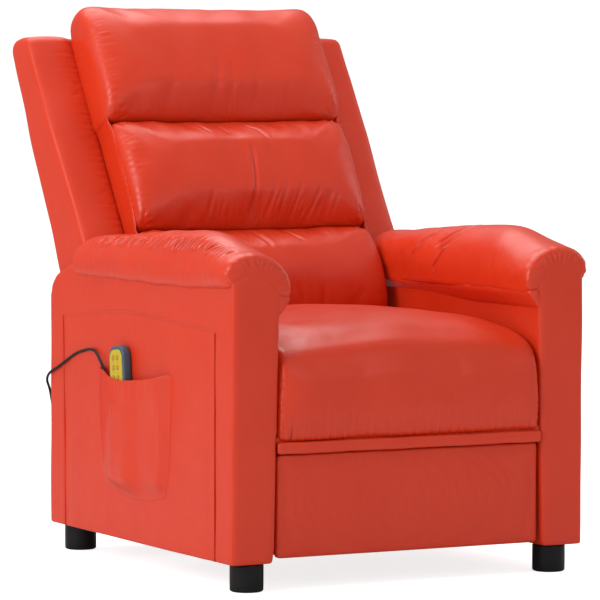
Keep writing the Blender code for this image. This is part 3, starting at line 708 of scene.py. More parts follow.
# ---- handset ----
def rounded_outline(half_y, low, high, radius_low, radius_high, count):
    """A rounded rectangle in the handset's width and height."""
    corners = [(half_y, low, radius_low, -90), (half_y, high, radius_high, 0),
               (-half_y, high, radius_high, 90), (-half_y, low, radius_low, 180)]
    outline = []
    for y, z, radius, start in corners:
        centre_y = y - math.copysign(radius, y)
        centre_z = z + radius if z == low else z - radius
        for k in range(count):
            angle = math.radians(start + 90 * k / (count - 1))
            outline.append((centre_y + radius * math.cos(angle), centre_z + radius * math.sin(angle)))
    return outline


def handset_slab(name, steps, size, radii, look, middle=(0.0, 0.0), shrink=0.0, count=12):
    """A moulding of rounded rectangles along the handset's thickness; each step is (x, inset)."""
    half, low, high = size
    rings = []
    for x, inset in mm(steps):
        corners = [radius - shrink * inset for radius in radii]
        outline = rounded_outline(half - inset, low + inset, high - inset, *corners, count)
        rings.append([on_handset((x, y + middle[0], z + middle[1])) for y, z in outline])
    return loft(name, rings, look)


def make_handset():
    """The wired remote: a rounded grey-blue body, a yellow face and soft keys."""
    steps = "-8.4 3.4  -8.2 1.6  -7.2 0.5  -5 0  0 0  5 0.2  8 1.6  9.4 3.6  9.9 6.2"
    shell = handset_slab("handset_body_cover", steps, (0.0310, -0.0675, 0.0675), (0.014, 0.020), GREY)
    stands_for(shell, "handset", "grey_plastic", "handset_shell")
    steps = "-7 0  -8.8 0  -9.6 0.4  -10 1.4  -10.1 3"
    face = handset_slab("handset_face_cover", steps, (0.0250, -0.0560, 0.0610), (0.011, 0.017), YELLOW)
    stands_for(face, "handset", "yellow_plastic", "handset_face")
    columns = (-0.0085, 0.0085)
    spots = {"key_wide": (0.0, -0.012, 0.012)}
    for row, height in enumerate((0.046, 0.028, 0.010)):
        for column, across in enumerate(columns):
            spots[f"key_{row + 1}{'ab'[column]}"] = (across, height, 0.0045)
    for name, (across, height, reach) in spots.items():
        key = handset_slab(f"{name}_cover", "-10 0  -10.8 0  -11.2 0.5  -11.4 1.4  -11.48 2.8",
                           (reach, -0.0045, 0.0045), (0.0022, 0.0022), KEY, (across, height), 0.5, 6)
        stands_for(key, name, "key_plastic", name)
    for number, (height, across) in enumerate((h, c) for h in (0.037, 0.019, 0.0015) for c in columns):
        mark = handset_slab(f"handset_tick_{number}", "-9.5 0  -10.15 0", (0.0030, -0.0006, 0.0006),
                            (0.0005, 0.0005), KEY, (across, height), 0.0, 4)
        stands_for(mark, "handset", "key_plastic")
    ring = [on_handset((0.001, 0, -0.0670 - 0.0210 * t)) for t in np.linspace(0, 1, 22)]
    radii = mm("5.6 5.6 5.5 4.2 5.5 5.3 4 5.2 5 3.8 4.9 4.7 3.6 4.6 4.4 3.4 4.3 4.1 3.2 3.8 3.4 2.8", 22)[0]
    relief = tube_mesh("strain_relief_cover", ring, radii, RUBBER, 20)
    stands_for(relief, "handset", "cord_rubber", "handset_strain_relief")


def turned_profile(name, centre, axis, profile, look, sides):
    """A piece turned on a lathe: profile is (distance along the axis, radius)."""
    centre, axis = Vector(centre), Vector(axis).normalized()
    turn = axis.to_track_quat("Z", "Y").to_matrix()
    rings = [[centre + turn @ Vector((r * math.cos(a), r * math.sin(a), h))
              for a in (2 * math.pi * k / sides for k in range(sides))] for h, r in profile]
    return loft(name, rings, look)


FOOT_PROFILE = """0 24  0.2 26.2  0.8 27.6  1.8 28.3  1.9 29  2.6 29.6  4 29.8  20 30  44 30  47.8 29.9
    49 29  49.4 28  50.5 27.9"""
GLAND_PROFILE = """-36 7  -15.6 7  -15.5 9.5  -14.5 10  -12 10  -11.2 9.2  -10.8 7.5  -8.5 7  -8 6  -7 6.6
    -5.5 6.4  -5 5.3  -4 5.8  -2.6 5.5  -2 4.6  -0.8 4.6  0 4  0.2 3"""


def make_fittings():
    """The feet and the cord gland, turned in plastic."""
    for side, label in SIDES:
        for place, depth in (("front", 0.033), ("rear", 0.718)):
            foot = turned_profile(f"foot_{place}_{label}_cover", (side * 0.312, behind(depth), 0.0),
                                  (0, 0, 1), mm(FOOT_PROFILE), BLACK, 56)
            stands_for(foot, "base", "black_plastic", f"foot_{place}_{label}")
    gland = turned_profile("cord_gland_cover", CORD_EXIT, (0, 1, 0), mm(GLAND_PROFILE), BLACK, 40)
    stands_for(gland, "base", "black_plastic", "cord_gland")


# ---- back cushions ----
BACK_TURN = np.array(BACK_AXES.to_3x3())
CUSHION_HALF = 0.2485
CORNER = 0.240       # X of the cushions' corners, where creases fan out
GROOVE_LOW, GROOVE_HIGH = -0.026, 0.210


def from_back(x, along, proud):
    """A point on the back's own axes, in the row frame."""
    return TO_BACK @ Vector((x, along, proud))


def in_back(points):
    """Row-frame points as (x, along, proud) rows."""
    return (points - np.array(BACK_ORIGIN)) @ BACK_TURN


def filled_block(name, profile, half, rounding, squeeze, place):
    """A filled block across X: `profile` is its outline, `squeeze` draws it in towards its ends."""
    outline = curve_points(mm(profile), 96, closed=True)
    turn = np.radians(np.linspace(90, 0, 11))
    ends = [(half - rounding + rounding * math.sin(t), 1 - math.cos(t)) for t in turn]
    flat = [(x, 0.0) for x in np.linspace(-(half - rounding), half - rounding, 17)[1:-1]]
    stations = [(-x, c) for x, c in ends] + flat + [(x, c) for x, c in reversed(ends)]
    rings = []
    for x, c in stations:
        u, v = squeeze(outline[:, 0], outline[:, 1], c, x)
        rings.append([place(x, a, b) for a, b in zip(u, v)])
    return loft(name, rings, LEATHER)


def squeeze_cushion(low, high, front_in, top_in, low_in):
    """Draws a back cushion in at its ends: its face by front_in, its upper and lower edge by the others."""
    middle, half = (low + high) / 2, (high - low) / 2

    def squeeze(along, proud, c, x):
        inset = np.where(along > middle, top_in, low_in)
        new_along = middle + (along - middle) * (1 - c * inset / half)
        new_proud = np.where(proud > 0, proud * (1 - c * front_in / 0.1), proud)
        return new_along, new_proud

    return squeeze


def corner_fan(across, height, inwards, seed, depth):
    """Five short creases that fan out of a cushion's corner."""
    chance = np.random.default_rng(seed)
    lines = []
    for k in range(5):
        angle = math.radians(12 + 66 * k / 4 + chance.uniform(-6, 6))
        length = 0.030 * chance.uniform(0.6, 1.1)
        step_x, step_a = math.copysign(math.cos(angle), -across), inwards * math.sin(angle)
        x, a = across + 0.004 * step_x, height + 0.004 * step_a
        bend = (x + 0.5 * length * step_x, a + 0.5 * length * step_a + chance.uniform(-0.002, 0.002))
        end = (x + length * step_x, a + length * step_a)
        width = chance.uniform(0.0022, 0.0034)
        lines.append(([(x, a), bend, end], width, depth * chance.uniform(0.6, 1.1), 0.35))
    return lines


def pulls(low_x, high_x, height, reach, count, seed, lean, depth):
    """Fine creases pulled out of a groove: each starts at the groove and dies away along the cushion."""
    chance = np.random.default_rng(seed)
    lines = []
    for k in range(count):
        x = low_x + (high_x - low_x) * (k + chance.uniform(0.2, 0.8)) / count
        length = reach * chance.uniform(0.45, 1.15)
        slant = lean * abs(length) + chance.uniform(-0.004, 0.004)
        line = [(x, height), (x + 0.4 * slant, height + 0.5 * length), (x + slant, height + length)]
        width = chance.uniform(0.0024, 0.0042)
        lines.append((line, width, depth * chance.uniform(0.4, 1.1), 0.45))
    return lines


# Profiles are (along, proud) and creases (x, along), in millimetres on the back's own axes.
BACK_CUSHIONS = {
    "head": {
        "span": (GROOVE_HIGH + 0.0006, 0.4740), "insets": (0.024, 0.026, 0.004), "half": 0.2560,
        "profile": """210.6 -6  210.6 30  210.8 62  214.5 77.5  226 88.5  248 96  290 99  345 98  398 94.5
            433 88  457 76  470 59  473.5 37  470 18  458 5  440 1.5  425 0.5  410 -4.5  380 -6  320 -6
            260 -6  225 -6""",
        "creases": creases("-100 320  -118 262  -133.6 206 | 9 0.7 0.5",
                           "-2 350  -18 280  -36 200 | 8 1.6 0.5", "26 335  14 270  2 200 | 7 1.1 0.5",
                           "76 310  66 255  55 200 | 8 0.9 0.5", "140 290  131 245  122 200 | 7 0.7 0.5"),
        "pulls": [(-0.150, 0.150, 0.216, 0.040, 14, 11, 0.10, 0.0003)],
    },
    "middle": {
        "span": (GROOVE_LOW + 0.0006, GROOVE_HIGH - 0.0006), "insets": (0.026, 0.006, 0.006),
        "half": CUSHION_HALF,
        "profile": """-25.4 -6  -25.4 30  -25.2 60  -22.5 76.5  -12 89  12 98  60 102.5  110 103  152 100.5
            183 93  201 82  208.5 68  209.4 30  209.4 -6""",
        "creases": creases("14.5 140.5  12.5 112  11.2 94.4  5.3 50.8  -12.2 -20 | 4 3.4 0.22",
                           "16 196  30 184  46.4 171.3  59 135.8  61.5 120.4 | 3.6 2.6 0.25",
                           "-80 200  -70.5 180.6  -60 158 | 3.6 2.2 0.3",
                           "-30 200  -25.2 180.4  -18 160 | 3.4 2 0.3",
                           "80 202  88 188  93 172 | 3.4 1.4 0.3",
                           "-87.1 39  -98 8  -105.5 -16.8 | 4.5 1.4 0.35",
                           "50 60  36 20  24 -20 | 3.6 1.9 0.3", "78 58  58 15  48 -20 | 3.4 1.8 0.3",
                           "106 52  88 12  76 -20 | 3.4 1.7 0.3",
                           "146.7 44.6  124 5  108.2 -21 | 3.6 1.6 0.3"),
        "pulls": [(-0.110, 0.020, -0.020, 0.050, 9, 21, 0.15, 0.0011),
                  (0.015, 0.165, -0.020, 0.062, 16, 22, 0.45, 0.0015),
                  (-0.150, 0.130, 0.203, -0.028, 13, 23, 0.2, 0.0010)],
    },
    "lumbar": {
        "span": (-0.2150, GROOVE_LOW - 0.0006), "insets": (0.026, 0.006, 0.004), "half": CUSHION_HALF,
        "profile": """-215 -6  -219 20  -217 58  -205 82  -180 96  -135 103  -95 102  -62 96  -38 86  -29 74
            -26.6 60  -26.6 30  -26.6 -6""",
        "creases": creases("-18 -30  -10.9 -48.6  -1 -72  6 -98 | 4.2 2.6 0.3",
                           "54 -34  63.3 -54.4  79.1 -80 | 3.8 2.2 0.3",
                           "42 -160  56 -185  62 -205 | 6 1.8 0.4",
                           "95.5 -165  102 -190  104 -207 | 6 1.6 0.4"),
        "pulls": [(-0.160, 0.160, -0.033, -0.030, 14, 31, 0.2, 0.0011)],
    },
}


def dress_cushion(piece, facts, seed):
    """Creases and gathers on one back cushion."""
    flat = in_back(coordinates(piece))
    x, height, proud = flat.T
    across = np.abs(x)
    front = smooth_step((normals(piece) @ BACK_TURN)[:, 2], 0.10, 0.55)
    low, high = facts["span"]
    below_head = high < 0.3
    lines = list(facts["creases"])
    for row in facts["pulls"]:
        lines += pulls(*row)
    ends = [(high, -1, seed, 0.0018)] if below_head else []
    if low > -0.2:
        ends.append((low, 1, seed + 7, 0.0020 if below_head else 0.0011))
    for end, inwards, first_seed, depth in ends:
        for number, corner in enumerate((-CORNER, CORNER)):
            lines += corner_fan(corner, end, inwards, first_seed + number, depth)
    field = np.zeros(len(flat))
    for line, width, depth, fade in lines:
        box = np.array(line)
        near = np.all((flat[:, :2] > box.min(0) - 5 * width) & (flat[:, :2] < box.max(0) + 5 * width), axis=1)
        chosen = np.nonzero(near & (front > 0))[0]
        field[chosen] += crease(flat[chosen, :2], line, width, depth, fade)
    field *= front
    field += 0.0010 * ripple(flat, 0.11, seed) * front
    edge = smooth_step(across, 0.205, 0.238) * smooth_step(proud, 0.045, 0.075)
    edge *= fall(across, 0.2470, 0.2488)
    rows = flat[:, 1:2]
    swell = 0.5 + 0.5 * ripple(rows, 0.08, seed + 6)
    field += 0.0003 * edge * ripple(rows, 0.012, seed + 5) * swell
    push_out(piece, field)
    near_low = dying(height - low, 0.022)
    near_high = dying(high - height, 0.014) * below_head
    at_groove = front * np.maximum(near_low, near_high * 0.8)
    at_groove *= 0.55 + 0.45 * ripple(flat[:, :1], 0.05, seed + 3)
    on_edge = across > 0.212
    strength = np.clip(np.where(on_edge, 0.22 * edge, 0.75 * at_groove), 0, 1)
    strength *= smooth_step(np.abs(across - 0.212), 0.0, 0.006)
    gathers(piece, np.where(on_edge, height, x), np.where(on_edge, x + proud, height), strength)


def make_back_cushions():
    """Head, middle and lumbar cushions, blown out over their filling and held at the grooves."""
    for number, (name, facts) in enumerate(BACK_CUSHIONS.items()):
        low, high = facts["span"]
        squeeze = squeeze_cushion(low, high, *facts["insets"])
        piece = filled_block(f"{name}_cushion_cover", facts["profile"], facts["half"], 0.030, squeeze,
                             from_back)
        remesh(piece, 0.0052)
        relax(piece, 3)
        flat = in_back(coordinates(piece))
        held = fall(flat[:, 2], 0.040, 0.074)
        if name == "head":
            held *= 1 - 0.8 * smooth_step(flat[:, 1], 0.41, 0.45)
        hold_and_blow(piece, held, 4.0, 0.008, 16, 0.012)
        relax(piece, 14 if name == "head" else 5, 1 - 0.75 * held)
        subdivide(piece)
        dress_cushion(piece, facts, 40 + 10 * number)
        stands_for(piece, "back", "leather", f"{name}_cushion")


BOXING = """-214 -3  -216 30  -210 58  -192 70  -120 74.5  -45 70  -26 64  -8 70  90 75  190 70  210 64
    230 69.5  320 72  388 69  419 59  433.5 40  435 18  430 5  418 -1  400 -3  360 -3  240 -3  40 -3
    -120 -3  -190 -3  -206 -3"""


def make_boxing():
    """The side strips that close the three cushions in one run, from the seat to the head."""
    outline = curve_points(mm(BOXING), 150, closed=True)
    centre = outline.mean(axis=0)
    for side, label in SIDES:
        rings = []
        for x, inset in mm("246.2 0  247.4 0.8  248.4 2.8  249.1 6  249.7 11"):
            drawn = outline + (centre - outline) / np.linalg.norm(centre - outline, axis=1)[:, None] * inset
            rings.append([from_back(side * x, a, p) for a, p in drawn])
        strip = loft(f"cushion_boxing_{label}", rings, LEATHER)
        remesh(strip, 0.0026)
        relax(strip, 2)
        points = coordinates(strip)
        flat = in_back(points)
        height, proud = flat[:, 1], flat[:, 2]
        rim = to_line(flat[:, 1:], np.vstack([outline, outline[:1]]))[0]
        outer = smooth_step(normals(strip)[:, 0] * side, 0.3, 0.8)
        wave = ripple(flat[:, 1:2], 0.010, 71 + side) * dying(rim, 0.014) * smooth_step(proud, 0.03, 0.06)
        lift = 0.0004 * wave + 0.0006 * ripple(flat, 0.07, 73 + side)
        points[:, 0] += side * (lift * outer + 0.0050 * smooth_step(height, 0.185, 0.245))
        set_coordinates(strip, points)
        strength = 0.45 * outer * dying(rim, 0.020) * smooth_step(proud, 0.02, 0.05)
        gathers(strip, height, proud, strength)
        stands_for(strip, "back", "leather")


# ---- seat ----
ARM_INNER_LOW, ARM_INNER_TOP = 0.2755, 0.2650      # X of the arm's inner face at its foot and top
ARM_FOOT, ARM_TOP = 0.050, 0.512                   # and the heights of those
ARM_OUTER = 0.3600                                 # X of the arm's outer face


def arm_inner_at(height):
    """X of the arm's inner face."""
    share = (height - ARM_FOOT) / (ARM_TOP - ARM_FOOT)
    return ARM_INNER_LOW + share * (ARM_INNER_TOP - ARM_INNER_LOW)


def squeeze_seat(depth, height, c, x):
    """Draws the seat cushion in at its sides, and crowns its top."""
    crown = -0.0165 * (abs(x) / 0.255) ** 1.4
    top = smooth_step(height, 0.36, 0.44)
    front = fall(depth, 0.0, 0.05)
    new_height = height + top * (crown - 0.005 * c)
    new_depth = depth + front * 0.010 * c * smooth_step(height, 0.27, 0.33)
    return new_depth, new_height


SEAT_HALF = 0.2700
SEAT_PROFILE = """553 270  300 270  90 270  45 268  26 264.2  14 261  6 259.6  0.5 260  -4 263.6  -7.2 272
    -9.8 286  -11.2 306  -11.6 330  -11.5 365  -10 392  -5 416  6 435  28 448  58 458  90 465  150 470.5
    225 473.5  300 474.5  390 474  462 463  520 435  548 408  556 370  556 300"""


def make_seat():
    """The deep seat cushion: its top rolls over its front in one run."""
    def place(x, depth, height):
        return Vector((x * (arm_inner_at(height) - 0.0018) / SEAT_HALF, behind(depth), height))

    piece = filled_block("seat_cushion_cover", SEAT_PROFILE, SEAT_HALF, 0.014, squeeze_seat, place)
    remesh(piece, 0.0058)
    relax(piece, 3)
    x, y, z = coordinates(piece).T
    side_part = smooth_step(np.abs(x), 0.262, 0.268) * fall(z, 0.38, 0.43)
    held = np.maximum(fall(z, 0.275, 0.300), side_part)
    held = np.maximum(held, smooth_step(y, behind(0.47), behind(0.52)))
    hold_and_blow(piece, held, 2.0, 0.0, 14, 0.004)
    relax(piece, 8)
    subdivide(piece)
    points, facing = coordinates(piece), normals(piece)
    x, y, z = points.T
    depth = y - FRONT
    front = smooth_step(-facing[:, 1], 0.3, 0.8)
    top = smooth_step(facing[:, 2], 0.3, 0.8)
    field = 0.0012 * ripple(points, 0.16, 5) * np.maximum(front, top)
    for line, width, deep, fade in pulls(-0.235, 0.235, 0.284, 0.040, 12, 51, 0.1, 0.0010):
        field += crease(points[:, [0, 2]], line, width, deep, fade) * front
    field += 0.0007 * front * ripple(points[:, :1], 0.013, 6) * dying(z - 0.275, 0.012)
    corner = bell(np.abs(x), 0.258, 0.012)
    run = np.where(depth < 0.03, z, 0.44 + depth)
    field += 0.0003 * corner * ripple(run[:, None], 0.012, 8)
    off_seam = np.abs(np.abs(x) - 0.2615) + FAINT
    under_back = smooth_step(y, behind(0.47), behind(0.50))
    store(piece, "seam", np.clip(1 - off_seam / SEAM_REACH, 0, 1) * (1 - under_back))
    strength = 0.6 * front * dying(np.where(depth < 0.02, z, 1.0) - 0.272, 0.018)
    across = np.where(corner > 0.3, run, x)
    gathers(piece, across, z + depth, np.maximum(strength, 0.35 * corner))
    push_out(piece, field)
    stands_for(piece, "base", "leather", "seat_cushion")


# ---- arm pads ----
PAD_SECTION = mm("""265.5 513.5  247 512  242 520  241 536  245 559  256 582  276 602  300 613  322 615
    342 608  358 593  367 574  369.8 554  368.4 539  363 530  330 524""")
PAD_FRONT = mm("""265.5 513.5  245 511  238.5 518  237.5 536  243 553  255 570  272 583  294 591.5
    318 594.5  342 590.5  360 581.5  371 569  375.2 555.5  372.2 542  363.4 533  330 526""")
PAD_CAP = -0.0056      # depth of the pad's flat front
PAD_ROLL = 0.018       # radius with which the pad rolls over to its front
ROLL = 0.050           # distance round the section, up to the middle of the outer roll
LEAN_STROKE = 0.46     # how far a gather on the roll leans, per metre of girth
# each station of a pad: its depth, how far the crown swells there, and how far its outline draws in
PAD_STATIONS = [(0.0110, 1.000, 0.0), (0.0300, 1.005, 0.0), (0.0600, 1.020, -0.0008),
                (0.1100, 1.060, -0.0012), (0.1700, 1.090, -0.0020), (0.2300, 1.085, -0.0020),
                (0.3000, 1.055, -0.0020), (0.3700, 1.015, -0.0015), (0.4400, 0.970, -0.0010),
                (0.5000, 0.925, 0.0), (0.5500, 0.880, 0.0), (0.5850, 0.840, 0.001), (0.5960, 0.800, 0.004),
                (0.5990, 0.760, 0.009)]


def pad_base(x):
    """Height of the arm box's top under the pad."""
    return ARM_TOP + (x - ARM_INNER_TOP) * 0.018 / (ARM_OUTER - ARM_INNER_TOP)


def pad_outline(depth):
    """The pad's section at a depth: broad-shouldered at the front, rounder further back."""
    front = fall(depth, -0.010, 0.150)
    return (curve_points(PAD_SECTION, 72, closed=True) * (1 - front)
            + curve_points(PAD_FRONT, 72, closed=True) * front)


def pad_ring(side, depth, swell, inset):
    """One section of an arm pad; its rear end leans with the back's wing and reaches on along its outside."""
    outline = pad_outline(depth)
    centre = np.array([0.306, 0.560])
    reach = np.linalg.norm(outline - centre, axis=1)[:, None]
    outline = outline + (centre - outline) / reach * inset
    rear = smooth_step(depth, 0.50, 0.590)
    ring = []
    for x, z in outline:
        x = max(x, 0.2410 + 0.0130 * smooth_step(depth, 0.30, 0.50))
        base = pad_base(x)
        height = base + 0.0016 + max(0.0, z - base) * swell if z > base else z
        height -= 0.006 * smooth_step(depth, 0.40, 0.50) * fall(x, 0.262, 0.275) * (z < 0.520)
        lean = 0.56 * max(0.0, height - 0.530) * rear * fall(x, 0.340, 0.356)
        lean += 0.042 * rear * smooth_step(x, 0.340, 0.356)
        ring.append((side * x, behind(depth + lean), height))
    return ring


def along_arm(piece, side):
    """Columns of a piece's vertices: X outwards from the middle, depth and height."""
    x, y, z = coordinates(piece).T
    return side * x, y - FRONT, z


def make_arm_pads():
    """Stuffed armrests: a smooth crown, gathered along the outer roll and round the flat front."""
    for side, label in SIDES:
        stations = [(PAD_CAP, 1.0, inset) for inset in (0.050, 0.042, 0.034, 0.026, 0.022)]
        stations += [(PAD_CAP + PAD_ROLL * (1 - math.cos(t)), 1.0, PAD_ROLL * (1 - math.sin(t)))
                     for t in np.radians(np.linspace(0, 85, 12))]
        stations += [tuple(s) for s in curve_points(PAD_STATIONS, 110)[1:]]
        rings = [pad_ring(side, d, s, i) for d, s, i in stations]
        piece = loft(f"arm_pad_cover_{label}", rings, LEATHER)
        remesh(piece, 0.0044)
        relax(piece, 2)
        x, depth, z = along_arm(piece, side)
        free = np.minimum(smooth_step(z - pad_base(x), 0.006, 0.026), smooth_step(depth, -0.001, 0.012))
        held = np.maximum(1 - free, smooth_step(depth, 0.55, 0.60))
        hold_and_blow(piece, held, 3.0, 0.003, 12, 0.006)
        relax(piece, 3)
        relax(piece, 8, bell(depth, 0.015, 0.030) * smooth_step(z, 0.535, 0.550))
        subdivide(piece)
        dress_pad(piece, side)
        stands_for(piece, "base", "leather", f"arm_pad_{label}")


def make_pad_facings():
    """The slanting strip of leather from each pad's inner edge down to the arm's inner wall."""
    section = mm("""270 520.5  249 519.5  243.6 514.5  246.6 507.2  253.4 498  260.4 489  266.4 484.5
        272.5 487""")
    outline = curve_points(section, 36, closed=True)
    for side, label in SIDES:
        rings = []
        for depth in np.linspace(-0.0045, 0.560, 150):
            end = 1 - 0.30 * math.exp(-(depth + 0.0045) / 0.003)
            sway = 0.0005 * math.sin(depth * 71 + side) + 0.0004 * math.sin(depth * 163)
            end *= 1 - 0.48 * smooth_step(depth, 0.20, 0.42)
            rings.append([(side * (0.268 + (x - 0.268) * end + sway), behind(depth),
                           0.508 + (z - 0.508) * end - sway) for x, z in outline])
        strip = loft(f"pad_facing_{label}", rings, LEATHER)
        points = coordinates(strip)
        gathers(strip, points[:, 1], points[:, 2], np.full(len(points), 0.10))
        stands_for(strip, "base", "leather")


def roll_strokes(flat, seed):
    """Slanting gathers in little groups along the outer roll."""
    chance = np.random.default_rng(seed)
    field = np.zeros(len(flat))
    for k in range(33):
        middle = 0.030 + 0.545 * (k + chance.uniform(0.15, 0.85)) / 33
        for _ in range(int(chance.integers(1, 4))):
            start = middle + chance.uniform(-0.005, 0.005)
            up, down = chance.uniform(0.010, 0.019), chance.uniform(0.009, 0.017)
            lean = LEAN_STROKE + chance.uniform(-0.08, 0.08)
            line = [(start + lean * down, ROLL - down), (start, ROLL), (start - lean * up, ROLL + up)]
            field += crease(flat, line, chance.uniform(0.0024, 0.0032), chance.uniform(0.0012, 0.0024), 0.40)
    return field


def dress_pad(piece, side):
    """Slanting gathers on the outer roll, radial ones round the front, and long creases near the back."""
    x, depth, z = along_arm(piece, side)
    angle = np.mod(np.arctan2(z - 0.555, x - 0.306) + 0.9, 2 * math.pi) - 0.9
    girth = angle * 0.062
    flat = np.stack([depth, girth], axis=1)
    chance = np.random.default_rng(90 + side)
    field = 0.0008 * ripple(coordinates(piece), 0.10, 91 + side) * smooth_step(depth, 0.0, 0.04)
    rolled = bell(girth, ROLL, 0.018) * smooth_step(depth, 0.02, 0.05) * fall(depth, 0.57, 0.61)
    if side < 0:
        field += roll_strokes(flat, 92)
    for line, width, deep, fade in creases("350 168  320 140  296 121  258 90 | 3 6.4 0.28",
                                           "340 215  317.3 183.5  296 148 | 3 4.8 0.28",
                                           "440 205  411 160  370 122 | 4 3 0.28",
                                           "332 176  300 150  278 126 | 2.8 3 0.28"):
        field += 1.4 * crease(flat, line, width, deep if side > 0 else 0.4 * deep, fade)
    section = np.stack([x, z], axis=1)
    outline = pad_outline(0.0)
    rim, run, _ = to_line(section, np.vstack([outline, outline[:1]]))
    at_front = fall(depth, 0.010, 0.026) * smooth_step(z, 0.512, 0.530)
    ring = at_front * smooth_step(rim, 0.0, 0.006) * fall(rim, 0.018, 0.032)
    chosen = np.nonzero(at_front > 0.01)[0]
    for k in range(8, 58, 3):
        edge = outline[int(round(k + chance.uniform(-0.8, 0.8))) % len(outline)]
        inwards = np.array([0.306, 0.545]) - edge
        inwards = inwards / np.linalg.norm(inwards)
        line = [edge + reach * inwards for reach in (0.004, 0.014, chance.uniform(0.022, 0.032))]
        width, deep = chance.uniform(0.0026, 0.0038), chance.uniform(0.0008, 0.0020)
        field[chosen] += crease(section[chosen], line, width, deep, 0.45) * at_front[chosen]
    lumps = bell(depth, 0.006, 0.010) * smooth_step(z, 0.525, 0.545)
    lumps *= 0.0002 + 0.0008 * smooth_step(x, 0.345, 0.365)
    field += lumps * ripple(run[:, None], 0.017, 95 + side)
    low_edge = bell(z - pad_base(x), 0.014, 0.012) * smooth_step(x, 0.34, 0.36)
    field += 0.0003 * low_edge * ripple(depth[:, None], 0.020, 97 + side)
    on_front = depth < 0.016
    across = np.where(on_front, run, 0.9 * (depth + LEAN_STROKE * (girth - ROLL)))
    along = np.where(on_front, rim, 0.35 * girth)
    gathers(piece, across, along, np.where(on_front, 0.16 * ring, (2.3 if side < 0 else 0.12) * rolled))
    push_out(piece, field)


# ---- arms ----
PANEL_SEAMS = [mm("61.5 52  62 250  62.5 453"),
               mm("685 52  688.5 250  694.5 450"),
               mm("694.5 449  645 452  593 456  519 465.5  416 471.5  315 469  169 461.5  62.5 456.5")]
FRONT_PANEL = """275.5 50  360 50  360 530  358.5 543  352 555  340 563  322 566  300 563  283 555
    270 543  261.5 529  259 515  264.5 504"""
ARM_BOX = "275.5 50  360 50  360 546  352 552  320 540  265 518"
ARM_SILL = "275.5 50  360 50  360 360  268.5 360"
REAR_PANEL = "560 300  754 300  754 485  749 505  738.5 519  716 531  672 547  655 549  560 549"
FRONT_FACE = -0.0062     # depth of the arm's front face
WELT_RADIUS = 0.0013


def make_arm_covers():
    """Upholstered arms: a flat front that runs up into the pad's end, and a side with an inset panel."""
    for side, label in SIDES:
        parts = []
        for outline, depths in ((ARM_BOX, (FRONT_FACE, 0.580)), (ARM_SILL, (0.555, 0.754)),
                                (FRONT_PANEL, (FRONT_FACE, 0.006))):
            parts.append(front_prism("part", [(side * x, z) for x, z in mm(outline)], depths, LEATHER))
        parts.insert(2, side_prism("part", mm(REAR_PANEL), (side * 0.3450, side * ARM_OUTER), LEATHER))
        cover = joined(f"arm_cover_{label}", parts)
        remesh(cover, 0.0050)
        relax(cover, 5)
        subdivide(cover)
        x, depth, z = along_arm(cover, side)
        facing = normals(cover)
        outer = smooth_step(side * facing[:, 0], 0.5, 0.9) * (x > 0.35)
        flat = np.stack([depth, z], axis=1)
        rim = np.minimum(to_line(flat, PANEL_SEAMS[0])[0], to_line(flat, PANEL_SEAMS[1])[0])
        inside = smooth_step(depth, 0.06, 0.10) * fall(depth, 0.65, 0.69)
        inside *= fall(z, 0.42, 0.46)
        lift = 0.0016 * inside * (1 - bell(rim, 0.0, 0.030)) - 0.0010 * bell(rim, 0.0, 0.0026)
        lift += 0.0005 * ripple(coordinates(cover), 0.16, 130 + side)
        seams(cover, flat, PANEL_SEAMS[:2], outer, PANEL_SEAMS[2:])
        front = smooth_step(-facing[:, 1], 0.5, 0.9)
        gathers(cover, x + z, z, 0.15 * bell(z, 0.545, 0.030) * front)
        push_out(cover, lift * outer)
        stands_for(cover, "base", "leather", f"arm_shell_{label}")
        for number, (line, shift) in enumerate(zip(PANEL_SEAMS, (0.0016, -0.0016))):
            path = curve_points([(side * (ARM_OUTER + 0.0003), behind(d + shift), z) for d, z in line], 60)
            welt = tube_mesh(f"side_welt_{label}_{number}", path, [WELT_RADIUS] * len(path), LEATHER, 10)
            stands_for(welt, "base", "leather")


# ---- back cover ----
WING_INNER = 0.2535      # X of the wing's inner seam, beside the cushions
REAR_HALF, REAR_TOP = 0.318, 0.395     # the rear skin's panel, on the back's own axes


